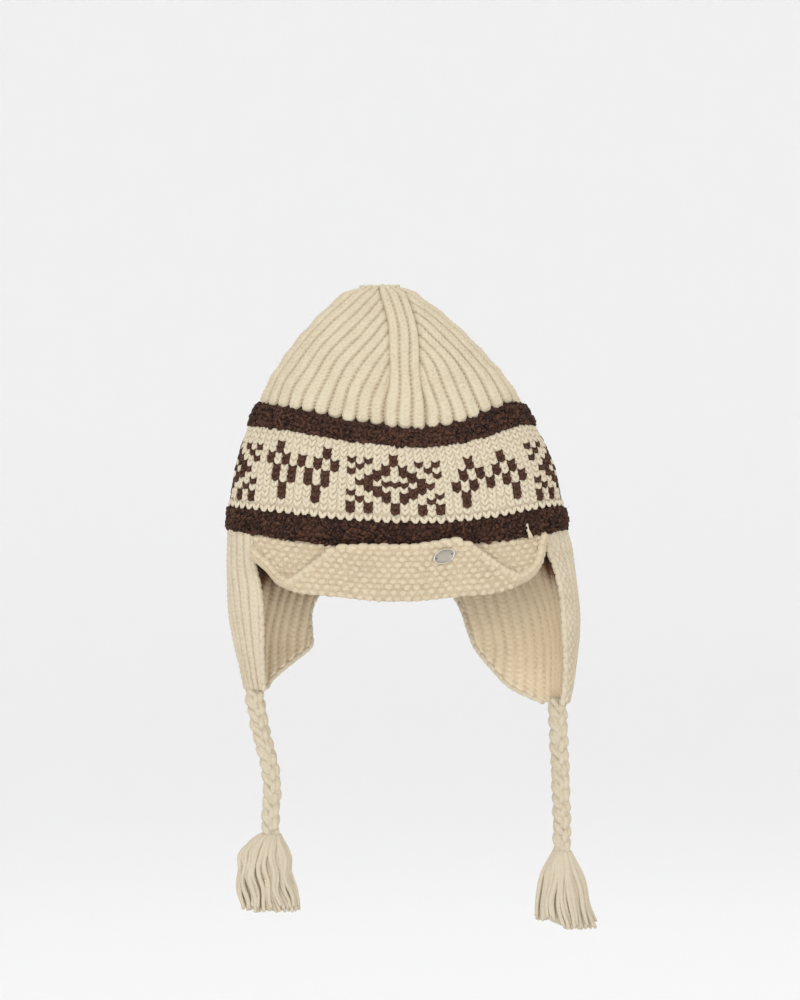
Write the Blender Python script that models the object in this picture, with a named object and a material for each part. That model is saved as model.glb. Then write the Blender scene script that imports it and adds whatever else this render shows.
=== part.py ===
"""Knitted earflap beanie: ribbed crown, two rolled stripes, a patterned band, a folded peak,
two ear flaps and two braided ties that end in tassels.

Metres, +Z up. The origin is the middle of the head opening at the hem. The front faces -Y.
Left and right are as seen from the front.
"""
import math
from collections import namedtuple

import bpy
import numpy as np

# Named sizes
HAT_HEIGHT = 0.195
HALF_WIDTH = 0.130
HALF_DEPTH = 0.063
WALL = 0.005
GAP = 0.0003
RIBS = 44
RIB_DEPTH = 0.0022
RIB_END = 0.0020
STRIPE_ROLL = 0.0027
CREASE_DEPTH = 0.0035
CREASE_HALF_WIDTH = 0.018
CREASE_PLACE = 0.017
FLAP_DROP = 0.130
FLAP_WALL = 0.0045
FLAP_RIBS = 13
FLAP_RIB_DEPTH = 0.0005
PEAK_WALL = 0.0045
PEAK_FOLD = 0.0027
PEAK_LEAN = 0.0040
PEAK_SET_BACK = 0.0012
PLATE_LENGTH = 0.017
PLATE_WIDTH = 0.011
PLATE_THICK = 0.0013
PLATE_ACROSS = 0.037
PLATE_DROP = 0.0128
PLATE_TILT = math.radians(8)
TIE_DIAMETER = 0.0155
TASSEL_LOCKS = 7

# The hat's outer skin from the hem to the top. Height and sag are shares of HAT_HEIGHT,
# half_width and shift of HALF_WIDTH, half_depth of HALF_DEPTH. The height is the one at the
# sides, and the front and back middle hang lower by the sag.
Section = namedtuple("Section", "height half_width half_depth shift sag")
SKIN = [
    Section(0.044, 1.000, 0.857, 0.009, 0.071),
    Section(0.092, 0.992, 0.897, 0.006, 0.067),
    Section(0.142, 0.978, 0.929, 0.000, 0.063),
    Section(0.296, 0.936, 0.968, -0.006, 0.069),
    Section(0.452, 0.842, 1.000, -0.024, 0.081),
    Section(0.545, 0.773, 0.984, -0.032, 0.097),
    Section(0.624, 0.711, 0.937, -0.044, 0.097),
    Section(0.695, 0.634, 0.857, -0.054, 0.087),
    Section(0.770, 0.543, 0.754, -0.067, 0.072),
    Section(0.835, 0.452, 0.635, -0.075, 0.054),
    Section(0.902, 0.346, 0.484, -0.084, 0.033),
    Section(0.955, 0.248, 0.325, -0.095, 0.015),
    Section(0.979, 0.200, 0.230, -0.097, 0.008),
    Section(0.995, 0.120, 0.130, -0.097, 0.000),
]
HEM = 0.044
LOWER_STRIPE_TOP = 0.142
UPPER_STRIPE_FOOT = 0.452
UPPER_STRIPE_TOP = 0.545

# A rolled stripe's outer face: up is a share of the stripe's height, out of STRIPE_ROLL.
Roll = namedtuple("Roll", "up out")
STRIPE_FACE = [Roll(0.00, -0.2), Roll(0.16, 0.70), Roll(0.50, 1.00), Roll(0.84, 0.70), Roll(1.00, -0.2)]

# The crown's rows: height as a share of HAT_HEIGHT, rib as a share of RIB_DEPTH, crease as a
# share of CREASE_DEPTH.
Row = namedtuple("Row", "height rib crease")
CROWN_ROWS = [
    Row(0.556, 1.00, 0.10),
    Row(0.595, 1.00, 0.25),
    Row(0.650, 1.00, 0.45),
    Row(0.710, 0.92, 0.70),
    Row(0.775, 0.84, 0.90),
    Row(0.835, 0.75, 1.00),
    Row(0.895, 0.62, 1.00),
    Row(0.945, 0.48, 0.90),
    Row(0.975, 0.36, 0.60),
    Row(0.995, 0.24, 0.20),
]

# A flap's rows. Drop is a share of FLAP_DROP below the origin, rim, front, rear and middle are
# shares of HALF_WIDTH, and depth of HALF_DEPTH. In plan a row follows an ellipse about middle,
# from its front edge round the outermost rim to its rear edge.
Flap = namedtuple("Flap", "drop rim front rear middle depth")
LEFT_FLAP = [
    Flap(-0.063, -0.991, -0.846, -0.190, 0.009, 0.857),
    Flap(0.030, -0.994, -0.846, -0.270, 0.000, 0.857),
    Flap(0.118, -0.996, -0.842, -0.360, -0.062, 0.849),
    Flap(0.261, -0.994, -0.811, -0.448, -0.169, 0.825),
    Flap(0.450, -0.984, -0.795, -0.520, -0.338, 0.738),
    Flap(0.563, -0.965, -0.794, -0.514, -0.438, 0.667),
    Flap(0.646, -0.948, -0.796, -0.516, -0.485, 0.587),
    Flap(0.734, -0.925, -0.793, -0.619, -0.592, 0.429),
    Flap(0.794, -0.913, -0.790, -0.694, -0.677, 0.317),
    Flap(0.856, -0.900, -0.785, -0.755, -0.750, 0.206),
    Flap(0.888, -0.896, -0.781, -0.767, -0.773, 0.163),
]
RIGHT_FLAP = [
    Flap(-0.063, 1.009, 0.892, 0.060, 0.009, 0.857),
    Flap(0.033, 1.036, 0.904, 0.130, 0.023, 0.857),
    Flap(0.118, 1.048, 0.939, 0.205, 0.062, 0.849),
    Flap(0.261, 1.066, 0.977, 0.314, 0.169, 0.825),
    Flap(0.450, 1.085, 0.997, 0.409, 0.323, 0.738),
    Flap(0.563, 1.082, 1.002, 0.444, 0.400, 0.651),
    Flap(0.652, 1.073, 1.010, 0.480, 0.446, 0.571),
    Flap(0.723, 1.064, 1.012, 0.533, 0.500, 0.492),
    Flap(0.788, 1.056, 1.012, 0.592, 0.554, 0.421),
    Flap(0.856, 1.046, 1.008, 0.655, 0.623, 0.350),
    Flap(0.900, 1.038, 1.004, 0.715, 0.685, 0.300),
    Flap(0.940, 1.032, 0.998, 0.800, 0.775, 0.235),
    Flap(0.971, 1.029, 0.990, 0.874, 0.854, 0.180),
]

# The peak from left to right: across is a share of HALF_WIDTH, fold and free are shares of
# HALF_DEPTH below the origin, of the fold and of the turned-up layer's free edge.
Peak = namedtuple("Peak", "across fold free")
PEAK = [
    Peak(-0.826, 0.235, 0.180),
    Peak(-0.800, 0.290, 0.235),
    Peak(-0.740, 0.391, 0.335),
    Peak(-0.681, 0.538, 0.470),
    Peak(-0.619, 0.605, 0.530),
    Peak(-0.545, 0.644, 0.430),
    Peak(-0.445, 0.660, 0.270),
    Peak(-0.344, 0.678, 0.090),
    Peak(-0.315, 0.684, 0.078),
    Peak(-0.200, 0.715, 0.075),
    Peak(-0.070, 0.733, 0.073),
    Peak(0.100, 0.733, 0.073),
    Peak(0.220, 0.710, 0.040),
    Peak(0.330, 0.684, -0.010),
    Peak(0.395, 0.672, 0.030),
    Peak(0.480, 0.660, 0.160),
    Peak(0.560, 0.640, 0.285),
    Peak(0.616, 0.611, 0.370),
    Peak(0.687, 0.562, 0.440),
    Peak(0.758, 0.501, 0.440),
    Peak(0.823, 0.416, 0.355),
    Peak(0.859, 0.305, 0.250),
    Peak(0.874, 0.195, 0.140),
]

# A tie's route from the middle: across is a share of HALF_WIDTH, back and drop of FLAP_DROP.
Way = namedtuple("Way", "across back drop")
LEFT_TIE = [
    Way(-0.838, 0.000, 0.897),
    Way(-0.837, 0.000, 0.930),
    Way(-0.820, 0.003, 1.019),
    Way(-0.805, 0.006, 1.114),
    Way(-0.782, 0.008, 1.208),
    Way(-0.755, 0.009, 1.303),
    Way(-0.740, 0.010, 1.398),
    Way(-0.735, 0.010, 1.492),
    Way(-0.742, 0.010, 1.587),
    Way(-0.743, 0.010, 1.676),
    Way(-0.742, 0.010, 1.720),
    Way(-0.742, 0.010, 1.748),
]
RIGHT_TIE = [
    Way(0.955, 0.020, 0.980),
    Way(0.957, 0.020, 1.010),
    Way(0.964, 0.018, 1.118),
    Way(0.966, 0.016, 1.220),
    Way(0.971, 0.014, 1.322),
    Way(0.975, 0.012, 1.424),
    Way(0.979, 0.010, 1.526),
    Way(0.982, 0.010, 1.629),
    Way(0.983, 0.010, 1.750),
    Way(0.983, 0.010, 1.820),
    Way(0.983, 0.010, 1.846),
]

# A tassel's locks: across and wide are shares of TIE_DIAMETER, drop is a share of the tassel's
# own length. Across shifts the middle, and wide is the half width of the whole tassel there.
Spread = namedtuple("Spread", "drop across wide")
LEFT_TASSEL = [
    Spread(0.04, -0.05, 0.70),
    Spread(0.20, -0.28, 1.10),
    Spread(0.48, -0.36, 1.30),
    Spread(0.75, -0.18, 1.30),
    Spread(1.00, 0.04, 1.32),
]
RIGHT_TASSEL = [
    Spread(0.04, 0.00, 0.55),
    Spread(0.20, 0.00, 0.85),
    Spread(0.45, 0.02, 1.10),
    Spread(0.75, 0.04, 1.28),
    Spread(1.00, 0.20, 1.36),
]
LEFT_TASSEL_LENGTH = 0.0585
RIGHT_TASSEL_LENGTH = 0.0560

# The plate's rings from its back to its dish: across is a share of its half size, up of its
# thickness.
Ring = namedtuple("Ring", "across up")
PLATE = [Ring(1.00, 0.00), Ring(1.00, 0.70), Ring(0.92, 1.00), Ring(0.80, 1.00), Ring(0.72, 0.62)]

CREAM = (0.80, 0.69, 0.50)
PALE_CREAM = (0.84, 0.75, 0.58)
BROWN = (0.055, 0.028, 0.018)
SILVER = (0.55, 0.56, 0.58)


def shares(table, name, size):
    return np.array([getattr(row, name) for row in table]) * size


def smooth(at, known, values):
    """A curve without corners through the known values."""
    slope = np.gradient(values, known)
    i = np.clip(np.searchsorted(known, at) - 1, 0, len(known) - 2)
    step = known[i + 1] - known[i]
    t = np.clip((at - known[i]) / step, 0, 1)
    start = values[i] * (1 + 2 * t) * (1 - t) ** 2 + slope[i] * step * t * (1 - t) ** 2
    end = values[i + 1] * t * t * (3 - 2 * t) + slope[i + 1] * step * t * t * (t - 1)
    return start + end


def rim_angle(share):
    """The angle round the ellipse at a share of its length, from the front's middle to the right."""
    fine = np.linspace(0, 2 * math.pi, 2001)
    middle = (fine[:-1] + fine[1:]) / 2
    steps = np.hypot(HALF_WIDTH * np.cos(middle), HALF_DEPTH * np.sin(middle))
    along = np.concatenate([[0], np.cumsum(steps)]) / steps.sum()
    whole = np.floor(share)
    return np.interp(share - whole, along, fine) + 2 * math.pi * whole


HEIGHTS = shares(SKIN, "height", HAT_HEIGHT)
SKIN_CURVES = {
    "half_width": shares(SKIN, "half_width", HALF_WIDTH),
    "half_depth": shares(SKIN, "half_depth", HALF_DEPTH),
    "shift": shares(SKIN, "shift", HALF_WIDTH),
    "sag": shares(SKIN, "sag", HAT_HEIGHT),
}


def on_skin(angle, height):
    wide, deep, shift, sag = (smooth(height, HEIGHTS, SKIN_CURVES[name]) for name in SKIN_CURVES)
    across = shift + wide * np.sin(angle)
    back = -deep * np.cos(angle)
    up = height - sag * np.cos(angle) ** 2
    return np.stack([across, back, up], axis=-1)


def hat_point(angle, height, out):
    """Points that stand out from the hat's skin, by a distance along its normal."""
    angle, height = np.broadcast_arrays(np.asarray(angle, float), np.asarray(height, float))
    round_it = on_skin(angle + 1e-4, height) - on_skin(angle - 1e-4, height)
    low = np.clip(height - 1e-4, HEIGHTS[0], HEIGHTS[-1])
    high = np.clip(height + 1e-4, HEIGHTS[0], HEIGHTS[-1])
    up_it = on_skin(angle, high) - on_skin(angle, low)
    normal = np.cross(round_it, up_it)
    normal /= np.linalg.norm(normal, axis=-1, keepdims=True)
    return on_skin(angle, height) + normal * np.asarray(out, float)[..., None]


def grid_normal(grid):
    """The normal of an open grid of points, rows by columns."""
    down = np.gradient(grid, axis=0)
    across = np.gradient(grid, axis=1)
    normal = np.cross(across, down)
    return normal / np.linalg.norm(normal, axis=-1, keepdims=True)


def material(name, colour, roughness, metallic=0.0):
    made = bpy.data.materials.new(name)
    made.use_nodes = True
    shader = made.node_tree.nodes["Principled BSDF"]
    shader.inputs["Base Color"].default_value = (*colour, 1.0)
    shader.inputs["Roughness"].default_value = roughness
    shader.inputs["Metallic"].default_value = metallic
    return made


def mesh_object(name, points, faces, look, collection):
    """A mesh with its faces turned outwards."""
    mesh = bpy.data.meshes.new(name)
    mesh.from_pydata([tuple(p) for p in points], [], faces)
    piece = bpy.data.objects.new(name, mesh)
    collection.objects.link(piece)
    bpy.context.view_layer.objects.active = piece
    piece.select_set(True)
    bpy.ops.object.mode_set(mode="EDIT")
    bpy.ops.mesh.select_all(action="SELECT")
    bpy.ops.mesh.normals_make_consistent(inside=False)
    bpy.ops.object.mode_set(mode="OBJECT")
    piece.select_set(False)
    mesh.materials.append(material(name, *look))
    return piece


def grid_faces(rows, columns, start, closed):
    """Quads over a grid of points, which joins up when closed."""
    last = columns if closed else columns - 1
    faces = []
    for r in range(rows - 1):
        for c in range(last):
            d = (c + 1) % columns
            low, high = start + r * columns, start + (r + 1) * columns
            faces.append((low + c, low + d, high + d, high + c))
    return faces


def rim_faces(outer, inner, closed):
    """Quads between two rows of point numbers."""
    last = len(outer) if closed else len(outer) - 1
    return [
        (outer[c], inner[c], inner[(c + 1) % len(outer)], outer[(c + 1) % len(outer)])
        for c in range(last)
    ]


def wall_object(name, outer, inner, look, collection, closed=False, tops=None):
    """A wall between an outer and an inner grid, with tops as the two points that close it."""
    columns = outer.shape[1]
    split = outer.shape[0] * columns
    points = [*outer.reshape(-1, 3), *inner.reshape(-1, 3)]
    faces = grid_faces(outer.shape[0], columns, 0, closed)
    faces += grid_faces(inner.shape[0], columns, split, closed)
    outer_end = [split - columns + c for c in range(columns)]
    inner_end = [len(points) - columns + c for c in range(columns)]
    faces += rim_faces(list(range(columns)), [split + c for c in range(columns)], closed)
    if tops is None:
        faces += rim_faces(outer_end, inner_end, closed)
    else:
        points += list(tops)
        for ring, top in ((outer_end, len(points) - 2), (inner_end, len(points) - 1)):
            faces += [(ring[c], ring[(c + 1) % columns], top) for c in range(columns)]
    if not closed:
        for c in (0, columns - 1):
            faces += rim_faces(
                [r * columns + c for r in range(outer.shape[0])],
                [split + r * columns + c for r in range(inner.shape[0])],
                False,
            )
    return mesh_object(name, points, faces, look, collection)


def ring_wall(name, foot, top, outer_rows, inner_rows, look, collection, columns=66):
    """A closed ring of the hat's wall. Rows are pairs of a share of its height and how far out."""
    angles = rim_angle(np.arange(columns) / columns)
    low, high = foot * HAT_HEIGHT + GAP / 2, top * HAT_HEIGHT - GAP / 2
    grids = []
    for rows in (outer_rows, inner_rows):
        grids.append(
            np.stack([hat_point(angles, low + (high - low) * up, np.full(columns, out)) for up, out in rows])
        )
    return wall_object(name, *grids, look, collection, closed=True)


def stripe(name, foot, top, collection):
    face = [(row.up, row.out * STRIPE_ROLL) for row in STRIPE_FACE]
    return ring_wall(name, foot, top, face, [(0, -WALL), (1, -WALL)], (BROWN, 0.9), collection)


def crown(collection):
    """The ribbed shell, with its ribs rounded off at the foot and its top drawn closed."""
    samples = 3
    columns = RIBS * samples
    share = np.arange(columns) / columns
    angles = rim_angle(share)
    groove = np.where(np.arange(columns) % samples == 0, 1.0, 0.0)
    away = (share - CREASE_PLACE + 0.5) % 1 - 0.5
    crease = np.exp(-((away / CREASE_HALF_WIDTH) ** 2)) * CREASE_DEPTH
    foot = UPPER_STRIPE_TOP * HAT_HEIGHT + GAP / 2
    outer = [hat_point(angles, foot, np.full(columns, -RIB_END))]
    for row in CROWN_ROWS:
        out = -groove * RIB_DEPTH * row.rib - crease * row.crease
        outer.append(hat_point(angles, row.height * HAT_HEIGHT, out))
    inner = [hat_point(angles, foot, np.full(columns, -WALL))]
    for row in CROWN_ROWS[2::2]:
        out = -WALL - crease * row.crease * 0.8
        inner.append(hat_point(angles, row.height * HAT_HEIGHT, out))
    top = on_skin(np.array(0.0), np.array(HEIGHTS[-1])) * [1, 0, 1]
    tops = (top + [0, 0, 0.0006], np.array([top[0], 0, inner[-1][:, 2].mean() + 0.0006]))
    return wall_object("crown", np.stack(outer), np.stack(inner), (CREAM, 0.92), collection, True, tops)


def flap(name, table, side, collection):
    """A ribbed flap that curls round the side of the head and narrows to its tie."""
    columns = 2 * FLAP_RIBS + 1
    rows = []
    for row in table:
        middle = row.middle * HALF_WIDTH
        reach = abs(row.rim * HALF_WIDTH - middle)
        first = math.asin(np.clip((row.front * HALF_WIDTH - middle) * side / reach, -1, 1))
        last = math.pi - math.asin(np.clip((row.rear * HALF_WIDTH - middle) * side / reach, -1, 1))
        angle = np.linspace(first, last, columns)
        sag = SKIN_CURVES["sag"][0] * max(0.0, 1 - max(0.0, row.drop + 0.063) / 0.45)
        up = -row.drop * FLAP_DROP - sag * np.cos(angle) ** 2 - GAP
        across = middle + side * reach * np.sin(angle)
        rows.append(np.stack([across, -row.depth * HALF_DEPTH * np.cos(angle), up], axis=-1))
    skin = np.stack(rows)
    normal = grid_normal(skin) * -side
    normal[0, :, 2] = 0
    normal[0] /= np.linalg.norm(normal[0], axis=-1, keepdims=True)
    rib = np.where(np.arange(columns) % 2 == 1, 0.0, -2 * FLAP_RIB_DEPTH)[None, :, None]
    outer = skin + normal * rib
    inner = skin - normal * (FLAP_WALL + rib)
    outer[0, :, 2] = skin[0, :, 2]
    inner[0, :, 2] = skin[0, :, 2]
    return wall_object(name, outer, inner, (CREAM, 0.92), collection)


def peak_rows():
    """The peak's cloth: down behind, round the fold and up in front, and each row's way out of it."""
    across = shares(PEAK, "across", HALF_WIDTH)
    fold = -shares(PEAK, "fold", HALF_DEPTH) + PEAK_WALL / 2
    free = -shares(PEAK, "free", HALF_DEPTH)
    angle = np.arcsin((across - SKIN_CURVES["shift"][0]) / SKIN_CURVES["half_width"][0])
    edge = on_skin(angle, HEIGHTS[0])
    away = hat_point(angle, HEIGHTS[0], np.ones(len(PEAK))) - edge
    away[:, 2] = 0
    away /= np.linalg.norm(away, axis=1, keepdims=True)
    top = edge[:, 2] - GAP
    rise = np.maximum(free - fold, PEAK_FOLD + 0.0012)
    lean = PEAK_LEAN * (top - fold) / (top - fold).max()
    back = lean - PEAK_SET_BACK
    front = back + 2 * PEAK_FOLD
    path = [
        (back - lean, top, -1.0, 0.0),
        (back - lean / 2, (top + fold + PEAK_FOLD) / 2, -1.0, 0.0),
    ]
    for turn in (-1.0, -0.7, 0.0, 0.7, 1.0):
        drop = -math.sqrt(1 - turn * turn)
        path.append((back + PEAK_FOLD * (1 + turn), fold + PEAK_FOLD * (1 + drop), turn, drop))
    path.append((front - lean * 0.1, fold + (PEAK_FOLD + rise) / 2, 1.0, 0.0))
    path.append((front - lean * 0.2 * rise / rise.max(), fold + rise, 1.0, 0.0))
    skin, ways = [], []
    for out, up, way_out, way_up in path:
        skin.append(np.concatenate([edge[:, :2] + away[:, :2] * out[:, None], up[:, None]], axis=1))
        ways.append(away * way_out + np.array([0, 0, way_up]))
    return np.stack(skin), np.stack(ways)


def peak(collection):
    skin, ways = peak_rows()
    outer = skin + ways * PEAK_WALL / 2
    inner = skin - ways * PEAK_WALL / 2
    return wall_object("peak", outer, inner, (PALE_CREAM, 0.92), collection)


def oval_plate(collection):
    """A small dished oval that lies on the turned-up layer."""
    face = peak_rows()[0][-2]
    back = np.interp(PLATE_ACROSS, face[:, 0], face[:, 1])
    slope = (np.interp(PLATE_ACROSS + PLATE_LENGTH, face[:, 0], face[:, 1]) - back) / PLATE_LENGTH
    right = np.array([1.0, slope, 0.0]) / math.hypot(1.0, slope)
    up = np.array([0.0, 0.0, 1.0])
    out = np.array([slope, -1.0, 0.0]) / math.hypot(1.0, slope)
    along = right * math.cos(PLATE_TILT) + up * math.sin(PLATE_TILT)
    over = up * math.cos(PLATE_TILT) - right * math.sin(PLATE_TILT)
    centre = np.array([PLATE_ACROSS, back, -PLATE_DROP]) + out * (PEAK_WALL / 2 + 0.0009)
    turns = np.arange(20) / 20 * 2 * math.pi
    points = []
    for ring in PLATE:
        for turn in turns:
            reach = along * math.cos(turn) * PLATE_LENGTH / 2 + over * math.sin(turn) * PLATE_WIDTH / 2
            points.append(centre + reach * ring.across + out * ring.up * PLATE_THICK)
    faces = grid_faces(len(PLATE), len(turns), 0, True)
    faces.append(tuple(range(len(turns))))
    faces.append(tuple(len(points) - len(turns) + c for c in range(len(turns))))
    return mesh_object("oval_plate", points, faces, (SILVER, 0.35, 1.0), collection)


def route(table):
    """A tie's smooth route, a point every two diameters and one near each end."""
    known = shares(table, "drop", FLAP_DROP)
    sizes = {"across": HALF_WIDTH, "back": FLAP_DROP}
    ways = [smooth_through(known, shares(table, name, size)) for name, size in sizes.items()]
    long = known[-1] - known[0]
    inside = np.linspace(known[0] + 0.004, known[-1] - 0.004, max(3, round(long / (1.3 * TIE_DIAMETER)) + 1))
    drops = np.concatenate([[known[0]], inside, [known[-1]]])
    points = [(float(ways[0](d)), float(ways[1](d)), float(-d)) for d in drops]
    points[0] = (*points[1][:2], points[0][2])
    points[-1] = (*points[-2][:2], points[-1][2])
    return points


def smooth_through(known, values):
    return lambda at: smooth(np.array(at), known, values)


def tie(name, table, collection):
    curve = bpy.data.curves.new(name, "CURVE")
    curve.dimensions = "3D"
    curve.bevel_depth = TIE_DIAMETER / 2
    curve.bevel_resolution = 2
    curve.use_fill_caps = True
    spline = curve.splines.new("POLY")
    points = route(table)
    spline.points.add(len(points) - 1)
    for spot, place in zip(spline.points, points):
        spot.co = (*place, 1)
    piece = bpy.data.objects.new(name, curve)
    collection.objects.link(piece)
    curve.materials.append(material(name, CREAM, 0.92))
    return piece


def tube(name, centres, radii, sides, turn, look, collection):
    """A closed tube through rings that lie level."""
    points = []
    for centre, radius in zip(centres, radii):
        for s in range(sides):
            angle = turn + 2 * math.pi * s / sides
            points.append(np.array(centre) + radius * np.array([math.cos(angle), math.sin(angle), 0]))
    faces = grid_faces(len(centres), sides, 0, True)
    faces.append(tuple(range(sides)))
    faces.append(tuple(len(points) - sides + s for s in range(sides)))
    return mesh_object(name, points, faces, look, collection)


def tassel(name, table, length, tie_table, collection, helpers):
    """Tapered locks round a middle one, fused to the head under the tie's end."""
    x, y, z = route(tie_table)[-1]
    z -= GAP
    half = TIE_DIAMETER / 2
    look = (PALE_CREAM, 0.92)
    head_rings = [(x, y, z), (x, y, z - 0.004), (x, y, z - 0.010), (x, y, z - 0.015)]
    head = tube(name, head_rings, [half * 0.85, half * 1.15, half * 1.2, half * 0.8], 10, 0.1, look, collection)
    locks = bpy.data.collections.new(name + "_locks")
    helpers.children.link(locks)
    for n in range(TASSEL_LOCKS + 1):
        turn = 2 * math.pi * (n + 0.35) / TASSEL_LOCKS
        outward = 0.0 if n == TASSEL_LOCKS else 1.0
        ragged = 1.0 - 0.035 * ((n * 5) % 3)
        centres, radii = [], []
        for row in table:
            wide = row.wide * TIE_DIAMETER
            thick = 0.44 * wide
            reach = (wide - thick) * outward
            middle = x + row.across * TIE_DIAMETER
            centres.append(
                (
                    middle + reach * math.cos(turn),
                    y + 0.85 * reach * math.sin(turn),
                    z - 0.003 - (length - 0.003) * row.drop * ragged,
                )
            )
            radii.append(thick if row.drop < 0.9 else thick * 0.86)
        lock = tube(f"{name}_lock_{n}", centres, radii, 6, 0.37 * n, look, locks)
        lock.hide_render = True
        lock.display_type = "WIRE"
        join = head.modifiers.new(f"lock_{n}", "BOOLEAN")
        join.operation = "UNION"
        join.solver = "EXACT"
        join.object = lock
    return head


for old in list(bpy.data.objects):
    bpy.data.objects.remove(old, do_unlink=True)

hat = bpy.data.collections.new("earflap_beanie")
bpy.context.scene.collection.children.link(hat)
helpers = bpy.data.collections.new("lock_shapes")
bpy.context.scene.collection.children.link(helpers)

crown(hat)
stripe("upper_stripe", UPPER_STRIPE_FOOT, UPPER_STRIPE_TOP, hat)
stripe("lower_stripe", HEM, LOWER_STRIPE_TOP, hat)
band_face = [(up, 0.0) for up in (0, 0.25, 0.5, 0.75, 1)]
band_back = [(up, -WALL) for up in (0, 0.5, 1)]
ring_wall("pattern_band", LOWER_STRIPE_TOP, UPPER_STRIPE_FOOT, band_face, band_back, (PALE_CREAM, 0.92), hat)
flap("ear_flap_left", LEFT_FLAP, -1, hat)
flap("ear_flap_right", RIGHT_FLAP, 1, hat)
peak(hat)
oval_plate(hat)
tie("tie_left", LEFT_TIE, hat)
tie("tie_right", RIGHT_TIE, hat)
tassel("tassel_left", LEFT_TASSEL, LEFT_TASSEL_LENGTH, LEFT_TIE, hat, helpers)
tassel("tassel_right", RIGHT_TASSEL, RIGHT_TASSEL_LENGTH, RIGHT_TIE, hat, helpers)
helpers.hide_render = True
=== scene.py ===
# %% [markdown]
# # Dressing an earflap beanie
# The hat is thick hand-knitted wool: a ribbed crown, two rolled dark stripes, a patterned band, a
# seed-stitch peak that is folded up, two ribbed flaps and two braided ties with tassels. The packed
# model already has the main form of each piece. This lesson puts the real knit in its place: every
# stitch that the eye can find is a small closed form, and the wool is a procedural material.

import math
from collections import namedtuple

import bmesh
import bpy
import numpy as np
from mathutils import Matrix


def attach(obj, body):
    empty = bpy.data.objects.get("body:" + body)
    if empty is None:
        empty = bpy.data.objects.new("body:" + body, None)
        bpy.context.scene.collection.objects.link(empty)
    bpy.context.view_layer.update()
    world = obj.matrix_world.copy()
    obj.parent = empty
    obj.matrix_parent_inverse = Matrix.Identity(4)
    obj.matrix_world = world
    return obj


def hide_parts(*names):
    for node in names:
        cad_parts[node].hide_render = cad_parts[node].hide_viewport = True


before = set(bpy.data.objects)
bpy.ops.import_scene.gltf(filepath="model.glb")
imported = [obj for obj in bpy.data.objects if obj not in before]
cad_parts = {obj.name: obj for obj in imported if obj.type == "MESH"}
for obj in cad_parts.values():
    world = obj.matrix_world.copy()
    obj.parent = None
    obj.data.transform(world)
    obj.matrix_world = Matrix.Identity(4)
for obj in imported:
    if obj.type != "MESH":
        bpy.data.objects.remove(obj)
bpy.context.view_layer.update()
chance = np.random.default_rng(44)
print("CAD pieces:", sorted(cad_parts))

# %% [markdown]
# ## The camera
# A long lens from about three metres, level with the middle of the picture, flattens the hat the
# way a catalogue picture does. One pixel of the 1000 in the height is 0.77 mm at the hat.

# %% The camera
PIXEL = 0.00077
PICTURE_HEIGHT = 1000
MIDDLE_RIGHT = 4
MIDDLE_ABOVE = 40
CAMERA_AWAY = 3.0

camera = bpy.data.objects.new("camera", bpy.data.cameras.new("camera"))
bpy.context.scene.collection.objects.link(camera)
camera.location = (MIDDLE_RIGHT * PIXEL, -CAMERA_AWAY, MIDDLE_ABOVE * PIXEL)
camera.rotation_euler = (math.pi / 2, 0, 0)
camera.data.sensor_fit = "VERTICAL"
camera.data.sensor_height = 36
camera.data.lens = camera.data.sensor_height * CAMERA_AWAY / (PIXEL * PICTURE_HEIGHT)
camera.data.clip_end = 30
bpy.context.scene.camera = camera
print("lens", round(camera.data.lens), "mm")

# %% [markdown]
# ## Sizes and the hat's own curves
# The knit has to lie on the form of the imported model, so the few tables that shape that form are
# written out again here, in the same words: sections of the skin, rows of the flaps, the peak and
# the routes of the ties. A smooth curve goes through each table, and a point of the skin is asked
# for by an angle round the hat, a height and a distance out of the skin.

# %% Sizes of the form
HAT_HEIGHT = 0.195
HALF_WIDTH = 0.130
HALF_DEPTH = 0.063
WALL = 0.005
GAP = 0.0003
STRIPE_ROLL = 0.0027
FLAP_DROP = 0.130
FLAP_WALL = 0.0045
PEAK_WALL = 0.0045
PEAK_FOLD = 0.0027
PEAK_LEAN = 0.0040
PEAK_SET_BACK = 0.0012
TIE_DIAMETER = 0.0155
HEM = 0.044
LOWER_STRIPE_TOP = 0.142
UPPER_STRIPE_FOOT = 0.452
UPPER_STRIPE_TOP = 0.545


def table(columns, rows):
    """Rows whose columns have names."""
    Row = namedtuple("Row", columns)
    return [Row(*row) for row in rows]


SKIN = table("height half_width half_depth shift sag", [
    (0.044, 1.000, 0.857, 0.009, 0.071),
    (0.092, 0.992, 0.897, 0.006, 0.067),
    (0.142, 0.978, 0.929, 0.000, 0.063),
    (0.296, 0.936, 0.968, -0.006, 0.069),
    (0.452, 0.842, 1.000, -0.024, 0.081),
    (0.545, 0.773, 0.984, -0.032, 0.097),
    (0.624, 0.711, 0.937, -0.044, 0.097),
    (0.695, 0.634, 0.857, -0.054, 0.087),
    (0.770, 0.543, 0.754, -0.067, 0.072),
    (0.835, 0.452, 0.635, -0.075, 0.054),
    (0.902, 0.346, 0.484, -0.084, 0.033),
    (0.955, 0.248, 0.325, -0.095, 0.015),
    (0.979, 0.200, 0.230, -0.097, 0.008),
    (0.995, 0.120, 0.130, -0.097, 0.000),
])

DRIFT = table("side rise", [
    (-1.00, 0.000),
    (-0.76, 0.016),
    (-0.53, 0.019),
    (-0.33, 0.010),
    (-0.10, 0.004),
    (0.10, -0.008),
    (0.22, -0.015),
    (0.40, -0.012),
    (0.60, -0.004),
    (0.79, 0.011),
    (0.92, 0.015),
    (1.00, 0.000),
])
DRIFT_SHARE = table("height share", [
    (0.044, 0.00),
    (0.142, 0.40),
    (0.452, 0.90),
    (0.545, 1.00),
    (0.750, 0.45),
    (0.995, 0.00),
])

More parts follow.
